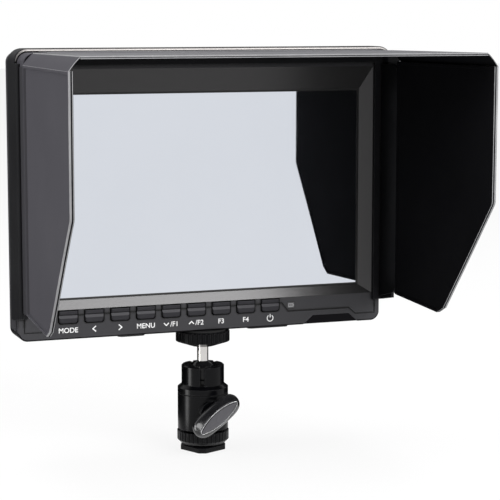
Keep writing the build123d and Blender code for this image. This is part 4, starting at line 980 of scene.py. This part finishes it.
def screwTree(material, shape):
    tree = bpy.data.node_groups.new("crossHeadScrews", "GeometryNodeTree")
    sockets = tree.interface
    sockets.new_socket("Points", in_out="INPUT", socket_type="NodeSocketGeometry")
    for label in screwSizes["case"]:
        sockets.new_socket(label, in_out="INPUT", socket_type="NodeSocketFloat")
    sockets.new_socket("Screws", in_out="OUTPUT", socket_type="NodeSocketGeometry")
    start, end = addNode(tree, "NodeGroupInput").outputs, addNode(tree, "NodeGroupOutput")
    sizes = {label: times(tree, start[label], mm) for label in screwSizes["case"]}
    radius, height = sizes["Head Radius"], sizes["Head Height"]

    def vector(**axes):
        return addNode(tree, "ShaderNodeCombineXYZ", axes).outputs[0]

    def joined(*meshes):
        node = addNode(tree, "GeometryNodeJoinGeometry")
        for mesh in meshes:
            tree.links.new(mesh, node.inputs[0])
        return node.outputs[0]

    def moved(mesh, **ways):
        return addNode(tree, "GeometryNodeTransform", {"Geometry": mesh, **ways}).outputs[0]

    # the head: a disc with a low crown
    head = addNode(tree, "GeometryNodeMeshCylinder", {
        "Vertices": shape["headSides"], "Side Segments": shape["wallRings"],
        "Fill Segments": shape["topRings"], "Radius": radius, "Depth": height,
    }).outputs["Mesh"]
    spot = apart(tree, addNode(tree, "GeometryNodeInputPosition").outputs[0])
    x, y = spot["X"], spot["Y"]
    squared = calc(tree, "ADD", times(tree, x, x), times(tree, y, y))
    share = calc(tree, "DIVIDE", squared, times(tree, radius, radius))
    onTop = calc(tree, "GREATER_THAN", spot["Z"], times(tree, height, shape["crownFrom"]))
    bulge = times(tree, calc(tree, "POWER", share, shape["crownPower"]), onTop)
    fall = times(tree, bulge, times(tree, height, shape["crownFall"]))
    crowned = addNode(
        tree, "GeometryNodeSetPosition", {"Geometry": head, "Offset": vector(Z=fall)}
    ).outputs[0]
    # the cross recess: two narrow bars cut out of the crown
    bars = []
    for turn in (0.0, math.pi / 2):
        wide = times(tree, sizes["Recess"], shape["barWidth"])
        size = vector(X=sizes["Recess"], Y=wide, Z=height)
        bar = addNode(tree, "GeometryNodeMeshCube", {"Size": size}).outputs["Mesh"]
        lift = vector(Z=times(tree, height, shape["barLift"]))
        bars.append(moved(bar, Translation=lift, Rotation=(0.0, 0.0, turn)))
    sockets = {"Mesh 1": crowned, "Mesh 2": joined(*bars)}
    cut = addNode(tree, "GeometryNodeMeshBoolean", sockets, operation="DIFFERENCE").outputs[0]
    shank = addNode(tree, "GeometryNodeMeshCylinder", {
        "Vertices": shape["shankSides"], "Radius": sizes["Shank Radius"],
        "Depth": sizes["Shank Length"],
    }).outputs["Mesh"]
    half = times(tree, calc(tree, "ADD", sizes["Shank Length"], height), -0.5)
    whole = joined(cut, moved(shank, Translation=vector(Z=half)))
    # each screw is driven home at its own angle, by a fixed seed
    angle = addNode(tree, "FunctionNodeRandomValue", data_type="FLOAT")
    angle.inputs["Max"].default_value = math.pi / 2
    angle.inputs["Seed"].default_value = shape["seed"]
    placed = addNode(tree, "GeometryNodeInstanceOnPoints", {
        "Points": start["Points"], "Instance": whole,
        "Rotation": vector(X=-math.pi / 2, Y=angle.outputs["Value"]),
    }).outputs[0]
    real = addNode(tree, "GeometryNodeRealizeInstances", {0: placed}).outputs[0]
    sockets = {"Material": material, "Geometry": real}
    fill(tree, end, {"Screws": addNode(tree, "GeometryNodeSetMaterial", sockets).outputs[0]})
    return tree


def screws(name, node, tree, sizes):
    low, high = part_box(node)
    points = bmesh.new()
    radius, height = sizes["Head Radius"] * mm, sizes["Head Height"] * mm
    for x in (low.x + radius, high.x - radius):
        for z in (low.z + radius, high.z - radius):
            points.verts.new((x, high.y - height / 2, z))
    holder = meshObject(name, points, [])
    maker = holder.modifiers.new("screws", "NODES")
    maker.node_group = tree
    for socket in tree.interface.items_tree:
        if socket.in_out == "INPUT" and socket.name in sizes:
            maker[socket.identifier] = float(sizes[socket.name])
    mesh = evaluatedMesh(holder)
    holder.modifiers.remove(maker)
    holder.data = mesh
    smoothShade(holder, 30)
    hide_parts(node)
    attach(holder, "monitor")


crossHead = screwTree(finishes["black_steel"], screwShape)
screws("caseCrossScrews", "case_screws", crossHead, screwSizes["case"])
screws("plateCrossScrews", "plate_screws", crossHead, screwSizes["plate"])
print("screws made")

# printed marks on the bezel: ink a few hundredths proud, in millimetres
printLook = {
    "height": 2.3, "capShare": 0.7, "bold": 0.02, "lift": 0.05, "middle": 4.3, "arrow": 0.5,
    "power": 0.42, "charge": 0.3, "ink": 0.86, "chargeInk": (0.34, 0.34, 0.35), "thin": 0.82,
    "pitch": 0.25, "speckRough": (0.35, 0.55), "bump": 0.3, "depth": 0.005, "proud": 0.02,
    "least": 0.04,
    # each word: its key, the word and its shift to the right
    "words": (
        (0, "MODE", 0), (3, "MENU", 0), (4, "/F1", 1.6), (5, "/F2", 1.6), (6, "F3", 0),
        (7, "F4", 0),
    ),
    "sideArrow": (0.75, 1.3), "upArrow": (2.4, 1.2, 0.6), "powerBar": (0.2, 1.85),
    # radius, first and last angle in degrees, and pieces of the ring
    "powerRing": (1.5, 125, 415, 26),
    # each stroke of the charge mark: its two ends from the lens's middle
    "chargeMark": (
        (-1.2, -0.7, 1.0, -0.7), (-1.2, 0.7, 1.0, 0.7), (-1.2, -0.85, -1.2, 0.85),
        (1.0, -0.85, 1.0, 0.85), (1.4, -0.35, 1.4, 0.35), (-0.7, 0, 0.5, 0),
    ),
}


def inkFinish(name, shade, look):
    material, tree, shader = newMaterial(name)
    grain = place(tree, grainGroup, Vector=spotOn(tree), Pitch=look["pitch"])
    thin = tuple(c * look["thin"] for c in colour(shade)[:3])
    fill(tree, shader, {
        "Base Color": mixColour(tree, grain["Speck"], colour(shade), colour(thin)),
        "Roughness": ranged(tree, grain["Speck"], *look["speckRough"]),
        "Normal": bumped(tree, grain["Height"], look["bump"], look["depth"]),
    })
    return material


def onBezel(x, z):
    # a place by its distance right of the body's middle and above its bottom, in millimetres
    return Vector((bodyMiddle + x * mm, bezelFront, bodyLow + z * mm))


def middleOf(node):
    # the middle of a node's box, as onBezel counts
    low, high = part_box(node)
    middle = (low + high) / 2
    return (middle.x - bodyMiddle) / mm, (middle.z - bodyLow) / mm


def wordMesh(word, look):
    curve = bpy.data.curves.new("word", "FONT")
    curve.body = word
    curve.align_x = "CENTER"
    curve.size = look["height"] * mm / look["capShare"]
    curve.offset = look["bold"] * look["height"] * mm
    curve.extrude = look["lift"] * mm
    holder = newObject("word", curve)
    mesh = evaluatedMesh(holder)
    bpy.data.objects.remove(holder)
    return mesh


def addWord(bm, word, x, z, look):
    mesh = wordMesh(word, look)
    spot = onBezel(x, z - look["height"] / 2)
    mesh.transform(Matrix.Translation(spot) @ Matrix.Rotation(math.pi / 2, 4, "X"))
    bm.from_mesh(mesh)
    bpy.data.meshes.remove(mesh)


def addStroke(bm, points, width, lift):
    # a flat band along a line of points on the bezel's face, mitred at its bends
    points = [Vector(p) for p in points]
    proud = Vector((0, -lift * mm, 0))
    rows = []
    for i, p in enumerate(points):
        before, after = points[max(i - 1, 0)], points[min(i + 1, len(points) - 1)]
        way = (after - before).normalized()
        grow = 1.0
        if 0 < i < len(points) - 1:
            grow = 1 / max(0.35, abs((p - before).normalized().dot(way)))
        side = Vector((-way.y, way.x)) * width / 2 * grow
        a, b = onBezel(*(p + side)), onBezel(*(p - side))
        rows.append([bm.verts.new(v) for v in (a, a + proud, b + proud, b)])
    loft(bm, rows)


def arc(x, z, radius, start, stop, count):
    steps = [math.radians(start + (stop - start) * i / count) for i in range(count + 1)]
    return [(x + radius * math.cos(a), z + radius * math.sin(a)) for a in steps]


def printMarks(look):
    words = ("mode", "left", "right", "menu", "down", "up", "third_function", "fourth_function")
    keys = [middleOf(word + "_button")[0] for word in (*words, "power")]
    marks = bmesh.new()
    middle, lift = look["middle"], look["lift"]
    for key, word, shift in look["words"]:
        addWord(marks, word, keys[key] + shift, middle, look)
    reach, half = look["sideArrow"]
    for x, way in ((keys[1], -reach), (keys[2], reach)):
        points = [(x - way, middle + half), (x + way, middle), (x - way, middle - half)]
        addStroke(marks, points, look["arrow"], lift)
    left, half, rise = look["upArrow"]
    for x, way in ((keys[4] - left, -rise), (keys[5] - left, rise)):
        points = [(x - half, middle - way), (x, middle + way), (x + half, middle - way)]
        addStroke(marks, points, look["arrow"], lift)
    x, (low, high) = keys[8], look["powerBar"]
    addStroke(marks, arc(x, middle - 0.1, *look["powerRing"]), look["power"], lift)
    addStroke(marks, [(x, middle + low), (x, middle + high)], look["power"], lift)
    # the words' faces settle only on a second pass, the first is here
    bmesh.ops.recalc_face_normals(marks, faces=marks.faces)
    piece = meshObject("printedMarks", marks, [inkFinish("whiteInk", look["ink"], look)])
    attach(piece, "monitor")


def printCharge(look):
    # the charge mark on its little lens
    x, z = middleOf("battery_light")
    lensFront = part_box("battery_light")[0].y
    lift = max((bezelFront - lensFront) / mm + look["proud"], look["least"])
    charge = bmesh.new()
    for x1, z1, x2, z2 in look["chargeMark"]:
        addStroke(charge, [(x + x1, z + z1), (x + x2, z + z2)], look["charge"], lift)
    piece = meshObject("chargeMark", charge, [inkFinish("grayInk", look["chargeInk"], look)])
    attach(piece, "monitor")


printMarks(printLook)
printCharge(printLook)
print("marks printed")

# a black border printed behind the glass edge, in millimetres
borderLook = {"width": 0.9, "under": 0.3, "lift": 0.03, "side": 78.9, "low": 18.15, "high": 113.15}


def buildBorder(look):
    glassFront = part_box("screen_glass")[0].y
    bm = bmesh.new()
    outside, inside, lift = -look["under"], look["width"], look["lift"]
    rings = []
    for inset, proud in ((outside, 0.0), (outside, lift), (inside, lift), (inside, 0.0)):
        x, low, high = look["side"] - inset, look["low"] + inset, look["high"] - inset
        ring = []
        for cx, cz in ((-x, low), (x, low), (x, high), (-x, high)):
            spot = onBezel(cx, cz)
            spot.y = glassFront - proud * mm
            ring.append(bm.verts.new(spot))
        rings.append(ring)
    joinRows(bm, rings[-1:] + rings)
    piece = meshObject("screenBorder", bm, [finishes["socket_black"]])
    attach(piece, "monitor")


buildBorder(borderLook)
print("screen border made")

# camera, floor and lamps, in metres and degrees
cameraLook = {"place": (-0.26831, -0.79719, 0.20768), "yaw": 20.145, "pitch": 7.535, "lens": 128.42}
eye = bpy.data.cameras.new("eye")
eye.lens = cameraLook["lens"]
eye.sensor_width = 36.0
eye.clip_start = 0.01
eyeHolder = newObject("eye", eye)
eyeHolder.location = cameraLook["place"]
eyeHolder.rotation_euler = (
    math.radians(90 - cameraLook["pitch"]), 0, math.radians(-cameraLook["yaw"])
)
scene.camera = eyeHolder

studioLook = {
    "floorSize": 12.0, "floorColour": 0.8, "floorDrop": 0.0002, "mirrorWhite": 0.78,
    "shadowShare": 0.15, "ambient": 0.42, "aim": (0.0, -0.03, 0.12),
    # each lamp: name, place, size and watts
    "lamps": (
        ("key", (0.62, -1.28, 0.95), 1.0, 26.0), ("left", (-1.5, -0.35, 0.75), 0.9, 17.0),
        ("top", (0.0, -0.2, 1.5), 1.2, 14.0),
    ),
    "cardColour": 0.004, "cardSteps": 24,
    # each card: name, radius, first and last angle, height and glow
    "cards": (
        ("flag", 0.45, 28.0, 130.0, 0.27, 0.0), ("lowFlag", 0.2, -2.0, 170.0, 0.052, 0.0),
        ("nearFlag", 0.07, -4.0, 173.0, 0.037, 0.0), ("leftStrip", 0.07, 173.0, 188.0, 0.037, 7.5),
    ),
}


def mirrorRays(tree, paths):
    return calc(tree, "MAXIMUM", paths["Is Glossy Ray"], paths["Is Transmission Ray"])


def buildFloor(look):
    half = look["floorSize"] / 2
    bm = bmesh.new()
    corners = ((-half, -half), (half, -half), (half, half), (-half, half))
    bm.faces.new([bm.verts.new((x, y, -look["floorDrop"])) for x, y in corners])
    material, tree, shader = newMaterial("paleFloor")
    tree.nodes.remove(shader)
    paths = addNode(tree, "ShaderNodeLightPath").outputs
    matt = addNode(tree, "ShaderNodeBsdfDiffuse", {"Color": colour(look["floorColour"])})
    seen = times(tree, paths["Is Camera Ray"], 1 - look["shadowShare"])
    mirrored = mirrorRays(tree, paths)
    level = calc(tree, "MULTIPLY_ADD", mirrored, look["mirrorWhite"], paths["Is Camera Ray"])
    shine = addNode(tree, "ShaderNodeEmission", {"Color": colour(1.0), "Strength": level})
    share = calc(tree, "MAXIMUM", seen, mirrored)
    sockets = {0: share, 1: matt.outputs[0], 2: shine.outputs[0]}
    blend = addNode(tree, "ShaderNodeMixShader", sockets).outputs[0]
    fill(tree, tree.nodes["Material Output"], {"Surface": blend})
    meshObject("floor", bm, [material])


def buildSky(look):
    scene.world = bpy.data.worlds.new("studio")
    scene.world.use_nodes = True
    tree = scene.world.node_tree
    paths = addNode(tree, "ShaderNodeLightPath").outputs
    level = ranged(tree, mirrorRays(tree, paths), look["ambient"], look["mirrorWhite"])
    level = calc(tree, "MAXIMUM", level, paths["Is Camera Ray"])
    fill(tree, tree.nodes["Background"], {"Color": colour(1.0), "Strength": level})


def softbox(name, spot, size, power, aim):
    lamp = bpy.data.lights.new(name, "AREA")
    lamp.shape = "SQUARE"
    lamp.size = size
    lamp.energy = power
    holder = newObject(name, lamp)
    holder.location = spot
    holder.rotation_euler = (Vector(aim) - Vector(spot)).to_track_quat("-Z", "Y").to_euler()


def stageCard(name, radius, first, last, high, glow, look):
    # a curved card that only gloss sees: black ones keep dark outlines on glossy edges, and one
    # that glows draws the upright highlight of the head
    bm = bmesh.new()
    pairs = []
    for k in range(look["cardSteps"] + 1):
        a = math.radians(first + (last - first) * k / look["cardSteps"])
        x, y = radius * math.cos(a), radius * math.sin(a)
        pairs.append([bm.verts.new((x, y, z)) for z in (0.0, high)])
    for (a, b), (c, d) in zip(pairs, pairs[1:]):
        bm.faces.new((a, c, d, b))
    material, tree, shader = newMaterial(name + "Face")
    fill(tree, shader, {
        "Base Color": colour(look["cardColour"]), "Roughness": 1.0, "Specular IOR Level": 0.0,
        "Emission Color": colour(1.0), "Emission Strength": glow,
    })
    card = meshObject(name, bm, [material])
    card.visible_camera = card.visible_diffuse = card.visible_shadow = False
    card.visible_transmission = False


buildFloor(studioLook)
buildSky(studioLook)
for lampName, *values in studioLook["lamps"]:
    softbox(lampName + "Lamp", *values, studioLook["aim"])
for card in studioLook["cards"]:
    stageCard(*card, studioLook)
print("studio set")

scene.view_settings.view_transform = "Standard"
